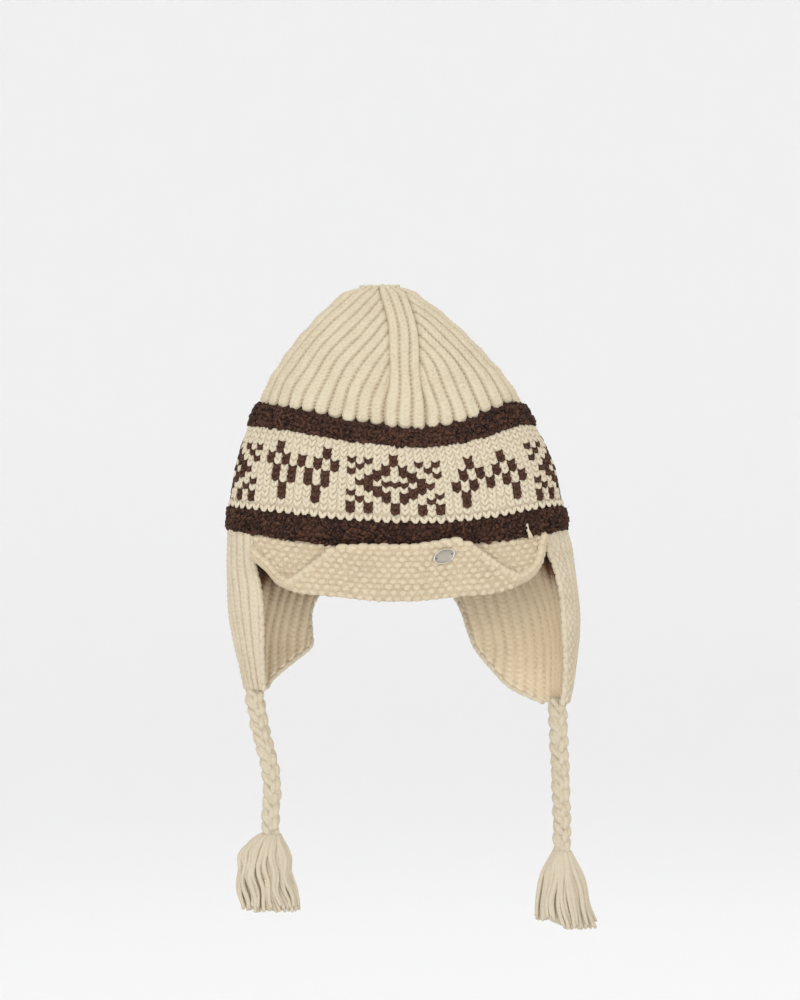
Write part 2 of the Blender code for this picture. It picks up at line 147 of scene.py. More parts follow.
# %% Points of the skin
def shares(rows, name, size=1.0):
    return np.array([getattr(row, name) for row in rows]) * size


def smooth(at, known, values):
    """A curve without corners through the known values."""
    at = np.asarray(at, float)
    slope = np.gradient(values, known)
    i = np.clip(np.searchsorted(known, at) - 1, 0, len(known) - 2)
    step = known[i + 1] - known[i]
    t = np.clip((at - known[i]) / step, 0, 1)
    start = values[i] * (1 + 2 * t) * (1 - t) ** 2 + slope[i] * step * t * (1 - t) ** 2
    end = values[i + 1] * t * t * (3 - 2 * t) + slope[i + 1] * step * t * t * (t - 1)
    return start + end


NEAR = 1e-4
AHEAD = 1e-3
FINE_TURN = np.linspace(0, 2 * math.pi, 2001)
TURN_MIDDLE = (FINE_TURN[:-1] + FINE_TURN[1:]) / 2
TURN_STEP = np.hypot(HALF_WIDTH * np.cos(TURN_MIDDLE), HALF_DEPTH * np.sin(TURN_MIDDLE))
RIM_LENGTH = TURN_STEP.sum() * (FINE_TURN[1] - FINE_TURN[0])
RIM_SHARE = np.concatenate([[0], np.cumsum(TURN_STEP)]) / TURN_STEP.sum()


def rim_angle(share):
    """The angle round the hat at a share of the rim, from the front's middle to the right."""
    whole = np.floor(share)
    return np.interp(share - whole, RIM_SHARE, FINE_TURN) + 2 * math.pi * whole


HEIGHTS = shares(SKIN, "height", HAT_HEIGHT)
WIDE = shares(SKIN, "half_width", HALF_WIDTH)
DEEP = shares(SKIN, "half_depth", HALF_DEPTH)
SHIFT = shares(SKIN, "shift", HALF_WIDTH)
SAG = shares(SKIN, "sag", HAT_HEIGHT)


def uneven(angle, height):
    """How far the rows of the front rise or sink, because the knitting isn't quite level."""
    rise = smooth(np.sin(angle), shares(DRIFT, "side"), shares(DRIFT, "rise", HAT_HEIGHT))
    part = smooth(height, shares(DRIFT_SHARE, "height", HAT_HEIGHT), shares(DRIFT_SHARE, "share"))
    return rise * part * (np.cos(angle) > 0)


def on_skin(angle, height):
    across = smooth(height, HEIGHTS, SHIFT) + smooth(height, HEIGHTS, WIDE) * np.sin(angle)
    back = -smooth(height, HEIGHTS, DEEP) * np.cos(angle)
    up = height - smooth(height, HEIGHTS, SAG) * np.cos(angle) ** 2 + uneven(angle, height)
    return np.stack([across, back, up], axis=-1)


def unit(vectors):
    return vectors / np.linalg.norm(vectors, axis=-1, keepdims=True)


def skin_frame(share, height):
    """The point of the skin, and the ways to the right, up and out there."""
    share, height = np.broadcast_arrays(np.asarray(share, float), np.asarray(height, float))
    angle = rim_angle(share)
    low = np.clip(height - NEAR, HEIGHTS[0], HEIGHTS[-1])
    high = np.clip(height + NEAR, HEIGHTS[0], HEIGHTS[-1])
    right = unit(on_skin(angle + NEAR, height) - on_skin(angle - NEAR, height))
    up = unit(on_skin(angle, high) - on_skin(angle, low))
    out = unit(np.cross(right, up))
    return on_skin(angle, height), right, unit(np.cross(out, right)), out


print("the rim is", round(RIM_LENGTH * 1000), "mm round")

# %% [markdown]
# ## Stitches as small closed forms
# A leg of a knit stitch is a short fat length of yarn, and so is a purl bump, a lock of a tassel or
# a strand of a braid. Each could be a subdivided cylinder, but there are thousands of them, so one
# small spindle is written as numbers and placed by arrays. Every point also carries three facts for
# the material: a tone of its own, a painted shade, deepest in grooves and gaps, and where it is on its
# yarn.

# %% Spindles
Form = namedtuple("Form", "points quads triangles tone shade yarn look")
STATIONS = np.array([-0.84, -0.40, 0.0, 0.40, 0.84])
SPINDLE_SIDES = 6
BLUNT = 2.4


def ring_turns(sides):
    return np.arange(sides) * 2 * math.pi / sides


def ring_faces(rings, sides):
    """Quads between rings of points, and triangles from the end rings to their tips."""
    ring = np.arange(sides)
    beside = (ring + 1) % sides
    start = 1 + np.arange(rings - 1)[:, None] * sides
    quads = np.stack([start + ring, start + beside, start + sides + beside, start + sides + ring], -1)
    last = 1 + (rings - 1) * sides
    near = np.stack([np.zeros(sides, int), 1 + beside, 1 + ring], 1)
    far = np.stack([np.full(sides, last + sides), last + ring, last + beside], 1)
    return quads.reshape(-1, 4), np.concatenate([near, far])


def for_each_point(values, count, each):
    """One value for all the copies, or one for each, given to all of their points."""
    values = np.broadcast_to(np.asarray(values, float).reshape(-1, 1), (count, 1))
    return np.repeat(values, each, axis=1).ravel()


def ringed_form(points, at, sides, along, tone, shade, look=0):
    """Numbers the same faces for every copy, and gives each point its place on its yarn."""
    count, each = points.shape[:2]
    rings = (each - 2) // sides
    quads, triangles = ring_faces(rings, sides)
    start = (np.arange(count) * each)[:, None, None]
    long = np.linalg.norm(along, axis=1) * 1000
    around = np.concatenate([[0.0], np.tile(ring_turns(sides), rings), [0.0]])
    way = np.zeros((count, each, 3))
    way[:, :, 0] = at[None, :] * long[:, None]
    way[:, :, 1] = np.cos(around)
    way[:, :, 2] = np.sin(around)
    return Form(
        points.reshape(-1, 3),
        (quads[None] + start).reshape(-1, 4),
        (triangles[None] + start).reshape(-1, 3),
        for_each_point(tone, count, each),
        for_each_point(shade, count, each),
        way.reshape(-1, 3),
        np.broadcast_to(np.asarray(look), (count,)),
    )


def spindles(centre, along, across, out, bend=None, tone=0.0, shade=0.0, look=0):
    """Spindles round their centres, with half sizes in the lengths of along, across and out."""
    turned = np.einsum("ij,ij->i", np.cross(along, across), out) < 0
    across = np.where(turned[:, None], -across, across)
    radius = (1 - np.abs(STATIONS) ** BLUNT) ** 0.5
    turn = ring_turns(SPINDLE_SIDES)
    at = np.concatenate([[-1.0], np.repeat(STATIONS, SPINDLE_SIDES), [1.0]])
    wide = np.concatenate([[0.0], np.outer(radius, np.cos(turn)).ravel(), [0.0]])
    thick = np.concatenate([[0.0], np.outer(radius, np.sin(turn)).ravel(), [0.0]])
    points = centre[:, None] + at[:, None] * along[:, None]
    points = points + wide[:, None] * across[:, None] + thick[:, None] * out[:, None]
    if bend is not None:
        points = points + (1 - at[:, None] ** 2) * bend[:, None]
    return ringed_form(points, at, SPINDLE_SIDES, along, tone, shade, look)

# %% Tubes along many routes at once
TIP = 0.7


def tubes(routes, radius, sides=6, side_way=(1.0, 0.0, 0.0), tone=0.0, shade=0.0, flat=1.0):
    """Closed tubes through routes, an array of routes by points by three."""
    count, length = routes.shape[:2]
    ahead = unit(np.gradient(routes, axis=1))
    across = unit(np.cross(ahead, np.broadcast_to(np.asarray(side_way, float), ahead.shape)))
    out = np.cross(ahead, across)
    turn = ring_turns(sides)
    radius = np.broadcast_to(radius, (count, length))
    reach = np.cos(turn)[:, None] * across[:, :, None] * flat + np.sin(turn)[:, None] * out[:, :, None]
    rings = routes[:, :, None] + radius[:, :, None, None] * reach
    first = routes[:, 0] - ahead[:, 0] * radius[:, :1] * TIP
    last = routes[:, -1] + ahead[:, -1] * radius[:, -1:] * TIP
    points = np.concatenate([first[:, None], rings.reshape(count, -1, 3), last[:, None]], axis=1)
    gone = np.linalg.norm(np.diff(routes, axis=1), axis=2).sum(axis=1)
    at = np.concatenate([[0.0], np.repeat(np.linspace(0, 1, length), sides), [1.0]])
    return ringed_form(points, at, sides, ahead[:, 0] * gone[:, None], tone, shade)


def run_along(line):
    """How far along a line each of its points lies."""
    return np.concatenate([[0], np.cumsum(np.linalg.norm(np.diff(line, axis=0), axis=1))])


def at_run(place, run, values):
    """What a line of values has at a place along it."""
    return np.stack([np.interp(place, run, values[:, axis]) for axis in range(3)], axis=-1)

# %% Sheets of cloth as grids
def sheet_form(grid, tone=0.0, shade=0.0, yarn=None, look=0, round_it=False, keep=None, flip=False):
    """A grid of points as quads, rows by columns; keep marks the points that stay."""
    rows, columns = grid.shape[:2]
    number = np.arange(rows * columns).reshape(rows, columns)
    if round_it:
        number = np.concatenate([number, number[:, :1]], axis=1)
    quads = np.stack([number[:-1, :-1], number[:-1, 1:], number[1:, 1:], number[1:, :-1]], axis=-1)
    quads = quads.reshape(-1, 4)
    look = np.broadcast_to(np.asarray(look), (rows - 1, number.shape[1] - 1)).ravel()
    if keep is not None:
        good = keep.ravel()[quads].any(axis=1)
        quads, look = quads[good], look[good]
    if flip:
        quads = quads[:, ::-1]
    size = rows * columns
    way = np.zeros((size, 3)) if yarn is None else yarn.reshape(-1, 3)
    tone = np.broadcast_to(tone, (rows, columns)).ravel()
    shade = np.broadcast_to(shade, (rows, columns)).ravel()
    return Form(grid.reshape(-1, 3), quads, np.zeros((0, 3), int), tone, shade, way, look)

# %% Collecting forms into one mesh
FACTS = (("tone", "FLOAT", "value"), ("shade", "FLOAT", "value"), ("yarn", "FLOAT_VECTOR", "vector"))


def make_piece(name, forms, looks, weld=False):
    """One mesh object from many forms, with its facts for the material."""
    starts = np.cumsum([0] + [len(form.points) for form in forms])
    points = np.concatenate([form.points for form in forms])
    quads = np.concatenate([form.quads + start for form, start in zip(forms, starts)])
    triangles = np.concatenate([form.triangles + start for form, start in zip(forms, starts)])
    look = [face_looks(form, form.quads) for form in forms]
    look = np.concatenate(look + [face_looks(form, form.triangles) for form in forms])
    mesh = bpy.data.meshes.new(name)
    mesh.vertices.add(len(points))
    mesh.vertices.foreach_set("co", points.astype(np.float32).ravel())
    corners = np.concatenate([quads.ravel(), triangles.ravel()])
    sizes = np.concatenate([np.full(len(quads), 4), np.full(len(triangles), 3)])
    mesh.loops.add(len(corners))
    mesh.loops.foreach_set("vertex_index", corners.astype(np.int32))
    mesh.polygons.add(len(sizes))
    mesh.polygons.foreach_set("loop_start", (np.cumsum(sizes) - sizes).astype(np.int32))
    mesh.polygons.foreach_set("material_index", look.astype(np.int32))
    mesh.update(calc_edges=True)
    mesh.validate()
    mesh.shade_smooth()
    for fact, kind, field in FACTS:
        layer = mesh.attributes.new(fact, kind, "POINT")
        values = np.concatenate([getattr(form, fact) for form in forms])
        layer.data.foreach_set(field, values.astype(np.float32).ravel())
    for finish in looks:
        mesh.materials.append(finish.material)
    piece = bpy.data.objects.new(name, mesh)
    bpy.context.scene.collection.objects.link(piece)
    if weld:
        weld_points(mesh)
    print(name, "has", len(quads) * 2 + len(triangles), "triangles")
    return piece


def face_looks(form, faces):
    """The material number of each face, whether the form gives one a face or one a copy."""
    if len(faces) == 0:
        return np.zeros(0, int)
    if len(form.look) == len(faces):
        return form.look
    return np.repeat(form.look, len(faces) // len(form.look))


def weld_points(mesh):
    """Joins points that lie on one another, where a sheet narrows to its edge."""
    work = bmesh.new()
    work.from_mesh(mesh)
    bmesh.ops.remove_doubles(work, verts=work.verts, dist=1e-6)
    bmesh.ops.dissolve_degenerate(work, edges=work.edges, dist=1e-7)
    work.to_mesh(mesh)
    work.free()


def dress(piece, *nodes):
    """The piece rides on the hat and stands for its nodes."""
    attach(piece, "root")
    if nodes:
        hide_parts(*nodes)
    return piece

# %% [markdown]
# ## The wool
# Wool is never one colour: its yarn is mottled, fibres stand off it, and plied yarn shows its twist.
# Its grooves and gaps look darker, and here that shade is painted into the colour. Pictures of yarn
# could be wrapped on, but a procedural material has no edges or repeats. It reads the facts on each
# point and adds fibres as a fine bump. A small class lets shader maths be written as plain expressions.

# %% Shader maths as expressions
class Wire:
    """A socket of a material, with sums and products that add Math nodes."""

    def __init__(self, finish, socket):
        self.finish = finish
        self.socket = socket

    def math(self, operation, other=None, first=None):
        values = {0: self if first is None else first}
        if first is not None:
            values[1] = self
        elif other is not None:
            values[1] = other
        return self.finish.add("ShaderNodeMath", {"operation": operation}, values)

    def __add__(self, other):
        return self.math("ADD", other)

    __radd__ = __add__

    def __sub__(self, other):
        return self.math("SUBTRACT", other)

    def __rsub__(self, other):
        return self.math("SUBTRACT", first=other)

    def __mul__(self, other):
        return self.math("MULTIPLY", other)

    __rmul__ = __mul__

    def sine(self):
        return self.math("SINE")

    def held(self):
        """The value kept between 0 and 1."""
        return self.finish.add("ShaderNodeClamp", {}, {0: self})


class Finish:
    """A material round one Principled shader."""

    def __init__(self, name, constants):
        self.material = bpy.data.materials.new(name)
        self.material.use_nodes = True
        self.tree = self.material.node_tree
        self.shader = self.tree.nodes["Principled BSDF"]
        for socket, value in constants.items():
            self.shader.inputs[socket].default_value = value

    def add(self, kind, settings, values, out=0):
        """Any node: its settings come first, then the values or wires of its sockets."""
        node = self.tree.nodes.new(kind)
        for name, value in settings.items():
            setattr(node, name, value)
        for name, value in values.items():
            self.feed(node.inputs[name], value)
        return Wire(self, node.outputs[out])

    def feed(self, socket, value):
        if isinstance(value, Wire):
            self.tree.links.new(value.socket, socket)
        else:
            socket.default_value = value

    def mix(self, share, first, second):
        """A colour between two colours, by a share."""
        return self.add("ShaderNodeMix", {"data_type": "RGBA"}, {0: share, 6: first, 7: second}, out=2)

    def fact(self, name):
        return self.add("ShaderNodeAttribute", {"attribute_name": name}, {}, out="Fac")

    def noise(self, where, scale, detail=3.0):
        values = {"Vector": where, "Scale": scale, "Detail": detail, "Roughness": 0.6}
        return self.add("ShaderNodeTexNoise", {}, values)

    def place(self):
        return self.add("ShaderNodeTexCoord", {}, {}, out="Object")

# %% The wool itself
MOTTLE_SCALE = 55.0
FLECK_SCALE = 620.0
FIBRE_SCALE = 1500.0
TWIST_PER_MM = 1.9


def wool(name, light, deep, mottling=0.5, flecks=0.5, ply=0.5, bump=0.00035, groove=1.0, dark=None):
    """Matt wool from a light to a deep colour by its painted shade, and on to a dark one past 1."""
    constants = {
        "Roughness": 0.92,
        "Specular IOR Level": 0.18,
        "Sheen Weight": 0.22,
        "Sheen Roughness": 0.55,
        "Sheen Tint": (*light[:3], 1.0),
    }
    finish = Finish(name, constants)
    place = finish.place()
    yarn = finish.add("ShaderNodeAttribute", {"attribute_name": "yarn"}, {}, out="Vector")
    parts = finish.tree.nodes.new("ShaderNodeSeparateXYZ")
    finish.feed(parts.inputs[0], yarn)
    along, level, upright = (Wire(finish, socket) for socket in parts.outputs)
    around = finish.add("ShaderNodeMath", {"operation": "ARCTAN2"}, {0: upright, 1: level})
    twist = (around * 2.0 + along * TWIST_PER_MM).sine()
    mottle = finish.noise(place, MOTTLE_SCALE, 2.0)
    fleck = finish.noise(place, FLECK_SCALE, 2.0)
    fibre = finish.noise(place, FIBRE_SCALE, 3.0)
    # Painted shade: the shade fact times groove, and the ply's troughs a little darker than its crests.
    share = finish.fact("shade") * groove + finish.fact("tone") * 0.30
    share = share + (mottle - 0.5) * mottling + (fleck - 0.5) * flecks - twist * 0.05 * ply
    colour = finish.mix(share.held(), (*light, 1.0), (*deep, 1.0))
    if dark:
        colour = finish.mix((share - 1.0).held(), colour, (*dark, 1.0))
    finish.feed(finish.shader.inputs["Base Color"], colour)
    height = twist * 0.30 * ply + fleck * 0.8 + fibre * 0.5
    relief = finish.add("ShaderNodeBump", {}, {"Strength": 0.8, "Distance": bump, "Height": height})
    finish.feed(finish.shader.inputs["Normal"], relief)
    return finish


BAND_CREAM = wool("band_cream", (0.655, 0.572, 0.432), (0.42, 0.33, 0.21), 0.30, 0.45, 0.7)
CROWN_CREAM = wool("crown_cream", (0.650, 0.568, 0.418), (0.30, 0.20, 0.11), 0.36, 0.55, 0.4, groove=0.84)
FLAP_CREAM = wool("flap_cream", (0.630, 0.548, 0.412), (0.22, 0.120, 0.052), 0.30, 0.50, 0.4)
# Inside the flap: a light colour raised as painted light, and deep and dark ones for painted shade.
INSIDE_LIGHT = (0.750, 0.625, 0.440)
INSIDE_DEEP = (0.180, 0.090, 0.040)
INSIDE_DARK = (0.045, 0.024, 0.016)
FLAP_INSIDE = wool("flap_inside", INSIDE_LIGHT, INSIDE_DEEP, 0.26, 0.42, 0.4, groove=0.92, dark=INSIDE_DARK)
PEAK_CREAM = wool("peak_cream", (0.632, 0.535, 0.385), (0.30, 0.21, 0.12), 0.32, 0.55, 0.5)
TIE_CREAM = wool("tie_cream", (0.595, 0.520, 0.395), (0.42, 0.34, 0.22), 0.30, 0.40, 0.8)
BROWN = wool("dark_brown", (0.094, 0.043, 0.027), (0.008, 0.005, 0.005), 0.5, 3.4, 0.5)
print("wools:", [material.name for material in bpy.data.materials])

# %% [markdown]
# ## The braided ties
# Each tie is three bundles of yarn, plaited. A bundle swings from side to side while it dips in
# front and behind twice as fast, which is what plaiting does. One texture on a round cord would
# never show the leaves of the braid against the light, so each bundle is three real yarns that
# twist round one another. The length is the one that the picture shows, from the flap's tip to the
# head of the tassel.

# %% Where the ties go
LEFT_TIE = table("across back drop", [
    (-0.838, 0.000, 0.897),
    (-0.837, 0.000, 0.930),
    (-0.820, 0.003, 1.019),
    (-0.805, 0.006, 1.114),
    (-0.782, 0.008, 1.208),
    (-0.755, 0.009, 1.303),
    (-0.740, 0.010, 1.398),
    (-0.735, 0.010, 1.492),
    (-0.742, 0.010, 1.587),
    (-0.743, 0.010, 1.676),
    (-0.742, 0.010, 1.720),
    (-0.742, 0.010, 1.748),
])
RIGHT_TIE = table("across back drop", [
    (0.955, 0.020, 0.980),
    (0.957, 0.020, 1.010),
    (0.964, 0.018, 1.118),
    (0.966, 0.016, 1.220),
    (0.971, 0.014, 1.322),
    (0.975, 0.012, 1.424),
    (0.979, 0.010, 1.526),
    (0.982, 0.010, 1.629),
    (0.983, 0.010, 1.750),
    (0.983, 0.010, 1.820),
    (0.983, 0.010, 1.846),
])
TIE_ROOT = 0.0045
PLAIT = 0.030
BUNDLE_SWING = 0.0035
BUNDLE_DIP = 0.0015
YARN_RADIUS = 0.0027
YARN_RING = 0.0018
YARN_TWIST = 0.034
YARN_WANDER = 0.0004
BRAID_POINTS = 120


def tie_line(rows, count):
    """Points down the middle of a tie."""
    known = shares(rows, "drop", FLAP_DROP)
    drop = np.linspace(known[0] - TIE_ROOT, known[-1], count)
    across = smooth(drop, known, shares(rows, "across", FLAP_DROP))
    back = smooth(drop, known, shares(rows, "back", FLAP_DROP))
    return np.stack([across, back, -drop], axis=1)


def braid(name, rows, phase):
    """Three bundles of three yarns, plaited down a tie."""
    line = tie_line(rows, BRAID_POINTS)
    gone = run_along(line)
    routes, tones = [], []
    slim = 1 - 0.10 * gone / gone[-1]
    for bundle in range(3):
        turn = 2 * math.pi * (gone / PLAIT + bundle / 3) + phase
        middle = line.copy()
        middle[:, 0] += BUNDLE_SWING * np.sin(turn) * slim
        middle[:, 1] += BUNDLE_DIP * np.sin(2 * turn)
        for yarn in range(3):
            twist = 2 * math.pi * (gone / YARN_TWIST + yarn / 3) + bundle
            route = middle.copy()
            route[:, 0] += YARN_RING * np.cos(twist) * slim
            route[:, 1] += YARN_RING * np.sin(twist) * 0.9
            route[:, 2] += YARN_WANDER * np.sin(gone * 900 + yarn)
            routes.append(route)
            tones.append(chance.uniform(-0.3, 0.3))
    form = tubes(np.array(routes), YARN_RADIUS, 7, tone=np.array(tones))
    piece = make_piece(name + "_braid", [form], [TIE_CREAM])
    dress(piece, name)
    print(name, "is", round(gone[-1] * 1000), "mm long")
    return piece, line, gone[-1]


left_braid, left_line, left_length = braid("tie_left", LEFT_TIE, 0.4)
right_braid, right_line, right_length = braid("tie_right", RIGHT_TIE, 1.2)

# %% [markdown]
# ## The tassels
# The ends of the plaited yarns are cut and left loose below a few turns of yarn that bind them. A
# tassel could be a cone with a streaky material, but its outline is what the eye knows it by. Here
# each cut yarn is a thin wavy tube that starts in the head and spreads as the picture shows.

# %% Strands of the tassels
LEFT_TASSEL = table("drop across wide", [
    (0.00, 0.00, 0.45),
    (0.10, -0.15, 0.85),
    (0.22, -0.28, 1.20),
    (0.48, -0.30, 1.44),
    (0.75, -0.18, 1.50),
    (1.00, 0.02, 1.62),
])
RIGHT_TASSEL = table("drop across wide", [
    (0.00, 0.00, 0.40),
    (0.20, 0.00, 0.80),
    (0.45, 0.02, 1.15),
    (0.75, 0.04, 1.45),
    (1.00, 0.20, 1.62),
])
STRANDS = 170
STRAND_POINTS = 22
STRAND_RADIUS = 0.00215
CORE_SHARE = 0.84
FLATNESS = 0.72
GOLDEN_TURN = 2.39996
BIND_WIDE = 0.0068
BIND_DEEP = 0.0062
BIND_TURNS = 3.3
BIND_PITCH = 0.00024


def tassel(name, rows, length, start, wave, curl, split):
    """Wavy yarns from a bound head; split parts them a little left of the middle."""
    drop = np.linspace(0, 1, STRAND_POINTS)
    known = shares(rows, "drop")
    routes = np.zeros((STRANDS, STRAND_POINTS, 3))
    wide = smooth(drop, known, shares(rows, "wide", TIE_DIAMETER))
    across = smooth(drop, known, shares(rows, "across", TIE_DIAMETER))
    for strand in range(STRANDS):
        reach = math.sqrt((strand + 0.5) / STRANDS) * 0.93
        turn = strand * GOLDEN_TURN + chance.uniform(-0.2, 0.2)
        level = reach * math.cos(turn)
        deep = reach * math.sin(turn) * FLATNESS
        part = split * math.exp(-((level + 0.25) / 0.25) ** 2) * np.sign(level + 0.25)
        cut = chance.uniform(0.90, 1.0) * (1 - 0.10 * (level < -0.25) * (split > 0))
        waves = chance.uniform(-0.6, 0.6, 2) + np.array([level, deep]) * 5
        swell = np.sin(drop * wave + waves[0]) * curl * np.minimum(drop * 3, 1)
        sway = np.cos(drop * wave * 0.9 + waves[1]) * curl * np.minimum(drop * 3, 1)
        routes[strand, :, 0] = start[0] + across + level * wide + part * drop ** 2 * TIE_DIAMETER + swell
        routes[strand, :, 1] = start[1] + deep * wide + sway
        routes[strand, :, 2] = start[2] - drop * cut * length
    thick = STRAND_RADIUS * (1 - 0.35 * drop ** 3)
    forms = [tubes(routes, thick, 6, tone=chance.uniform(-0.5, 0.1, STRANDS))]
    # A core fills the middle between the strands, with a slight painted shade.
    core = np.stack([start[0] + across, start[1] + 0 * drop, start[2] - drop * length * 0.86], axis=1)
    core_wide = wide * CORE_SHARE * (1 - 0.4 * drop ** 4)
    forms.append(tubes(core[None], core_wide[None], 14, flat=0.68, shade=0.12))
    bind = np.linspace(0, 2 * math.pi * BIND_TURNS, 70)
    down = -0.0012 - bind * BIND_PITCH
    ring = np.stack([np.cos(bind) * BIND_WIDE, np.sin(bind) * BIND_DEEP, down], axis=1)
    forms.append(tubes((start + ring)[None], 0.0011, 6, side_way=(0, 0, 1)))
    piece = make_piece(name + "_strands", forms, [TIE_CREAM])
    return dress(piece, name)


left_tassel = tassel("tassel_left", LEFT_TASSEL, 0.0585, left_line[-1], 12.0, 0.0012, 0.0)
right_tassel = tassel("tassel_right", RIGHT_TASSEL, 0.0590, right_line[-1], 8.0, 0.0008, 0.25)

# %% [markdown]
# ## Backing walls
# Behind the stitches there has to be cloth, or the light would come through. Each ring of the hat
# gets a thin closed wall a little behind its stitches, in the colour that shows between them and
# with a painted shade.

# %% A closed ring of wall
WALL_COLUMNS = 176


def backing(foot, top, face, shade=0.5, tuck=0.0):
    """A closed ring, with face as pairs of a share of its height and a distance out."""
    low, high = foot * HAT_HEIGHT + GAP / 2, top * HAT_HEIGHT - GAP / 2
    profile = list(face) + [(up, -WALL) for up in (1.0 + tuck, 0.75, 0.5, 0.25, 0.0)]
    share = np.arange(WALL_COLUMNS) / WALL_COLUMNS
    rows = []
    for up, distance in profile + profile[:1]:
        spot, _, _, out = skin_frame(share, low + (high - low) * up)
        rows.append(spot + out * distance)
    return sheet_form(np.stack(rows), shade=shade, round_it=True)

# %% [markdown]
# ## The patterned band
# The band is stocking stitch in two colours, so its pattern is a chart of stitches: each square is
# one stitch, and each stitch shows as a V of two legs. The chart is traditional and geometric, a
# diamond and a zigzag in turn, and goes round the 88 stitches twice. Legs are fat in the middle
# and tilted, so that their heads dive under the feet of the next row.

# %% The chart
STITCHES = 88
BAND_ROWS = 14
CHART_START = 5
DIAMOND = [
    "...........",
    "#.#..#..#.#",
    "#.#..#..#.#",
    ".#..#.#..#.",
    "#..##.##..#",
    "..##...##..",
    ".##.###.##.",
    "..##...##..",
    "#..##.##..#",
    ".#..#.#..#.",
    "#.#..#..#.#",
    ".....#.....",
    "...........",
    "...........",
]
ZIGZAG_DOWN = [
    ".........",
    ".........",
    "..#...#..",
    "..#...#..",
    "..#...#..",
    ".#.#.#.#.",
    ".#.#.#.#.",
    ".#.#.#.#.",
    "#.#.#.#.#",
    "#.#.#.#.#",
    ".#.....#.",
    ".#.....#.",
    ".........",
    ".........",
]
ZIGZAG_UP = [
    ".........",
    ".........",
    ".#.....#.",
    ".#.....#.",
    ".#.....#.",
    "#.#.#.#.#",
    "#.#.#.#.#",
    ".#.#.#.#.",
    ".#.#.#.#.",
    "..#...#..",
    "..#...#..",
    ".........",
    ".........",
    ".........",
]
CHART = [".".join([a, b, a, c]) + "." for a, b, c in zip(DIAMOND, ZIGZAG_UP, ZIGZAG_DOWN)]


def is_brown(stitch, row):
    """1 where the chart's stitch is brown; rows count from the bottom."""
    return int(CHART[row][(stitch + CHART_START) % len(CHART[0])] == "#")


def pairs(first, second):
    """Every pair of whole numbers below two counts, in two long rows."""
    numbers = np.meshgrid(np.arange(first), np.arange(second), indexing="ij")
    return [values.ravel() for values in numbers]


print("the chart repeats every", len(CHART[0]), "stitches")

# %% Legs of the band
KNIT_RISE = 0.0042
KNIT_WIDE = 0.0068
LEG_LEAN = math.radians(29)
LEG_HALF = 0.0030
LEG_WIDE = 0.00158
LEG_THICK = 0.00090
FOOT_DROP = 0.0012
FOOT_LIFT = 0.0012
DARK_LIFT = 0.0003


def vee_legs(share, height, width, rise, dark, lift):
    """Both legs of the knit stitches whose middles are at a share of the rim and a height.

    Dark legs lean out more, are a little longer and slimmer, and are shaded all over."""
    full = dark[:, None]
    spot, right, up, out = skin_frame(share, height)
    forms = []
    for side in (-1, 1):
        size = chance.uniform(0.94, 1.06, (len(spot), 1))
        lean = LEG_LEAN * chance.uniform(0.8, 1.2, (len(spot), 1)) * (1 + 0.25 * full)
        along = up * np.cos(lean) + right * side * np.sin(lean) - out * 0.12
        across = np.cross(out, along)
        centre = spot + right * side * width * (0.235 + 0.025 * full) + up * rise * 0.02
        centre = centre + out * (chance.uniform(-0.00015, 0.00015, len(spot)) + lift)[:, None]
        forms.append(
            spindles(
                centre,
                unit(along) * LEG_HALF * size * rise / KNIT_RISE * (1 + 0.08 * full),
                unit(across) * LEG_WIDE * size * width / KNIT_WIDE * (1 - 0.12 * full),
                out * LEG_THICK,
                bend=right * side * -0.0002,
                tone=chance.uniform(-0.14, 0.14, len(spot)),
                shade=0.26 * dark,
                look=dark,
            )
        )
    return forms


band_low = LOWER_STRIPE_TOP * HAT_HEIGHT
row_rise = (UPPER_STRIPE_FOOT - LOWER_STRIPE_TOP) * HAT_HEIGHT / BAND_ROWS
stitch, row = pairs(STITCHES, BAND_ROWS)
brown = np.array([is_brown(*place) for place in zip(stitch, row)])
wander = chance.normal(0, 0.00025, (2, len(stitch)))
band_share = stitch / STITCHES + wander[0] / RIM_LENGTH
band_height = band_low + (row + 0.5) * row_rise + wander[1] - FOOT_DROP * (row == 0)
stitch_right, _, _, _ = skin_frame((stitch + 0.5) / STITCHES, band_height)
stitch_left, _, _, _ = skin_frame((stitch - 0.5) / STITCHES, band_height)
stitch_wide = np.linalg.norm(stitch_right - stitch_left, axis=1)[:, None]
lift = FOOT_LIFT * (row == 0) + DARK_LIFT * brown
band_forms = vee_legs(band_share, band_height, stitch_wide, row_rise, brown, lift)
# The wall shows in the gaps between the legs, in the chart's colour with a slight painted shade.
band_face = [(up, -0.0003) for up in np.linspace(0, 1, BAND_ROWS + 1)]
behind = backing(LOWER_STRIPE_TOP, UPPER_STRIPE_FOOT, band_face, shade=0.10)
behind_look = np.zeros((len(behind.quads) // WALL_COLUMNS, WALL_COLUMNS), int)
for level in range(BAND_ROWS):
    behind_look[level] = [is_brown((place + 1) // 2, level) for place in range(WALL_COLUMNS)]
behind = behind._replace(look=behind_look.ravel())
pattern_band = make_piece("band_stitches", band_forms + [behind], [BAND_CREAM, BROWN])
dress(pattern_band, "pattern_band")

# %% [markdown]
# ## The rolled stripes
# A stripe is a few rows of purl in dark wool that roll out on themselves. Purl shows as short
# bumps laid like bricks, bent up in one row and down in the next. This wool is rough, so its bumps
# also lean every way, and the lowest rows bulge out.

# %% Purl bumps of the stripes
STRIPE_FACE = table("up out", [(0.00, -0.2), (0.16, 0.70), (0.50, 1.00), (0.84, 0.70), (1.00, -0.2)])
PURL_ROWS = 8
PURLS_AROUND = 150
PURL_HALF = RIM_LENGTH / PURLS_AROUND * 0.56
PURL_WIDE = 0.00165
PURL_THICK = 0.0018
PURL_SINK = 0.0013
PURL_LEAN = 0.75
TUCK = 0.15
LOW_ROLL = 0.0020


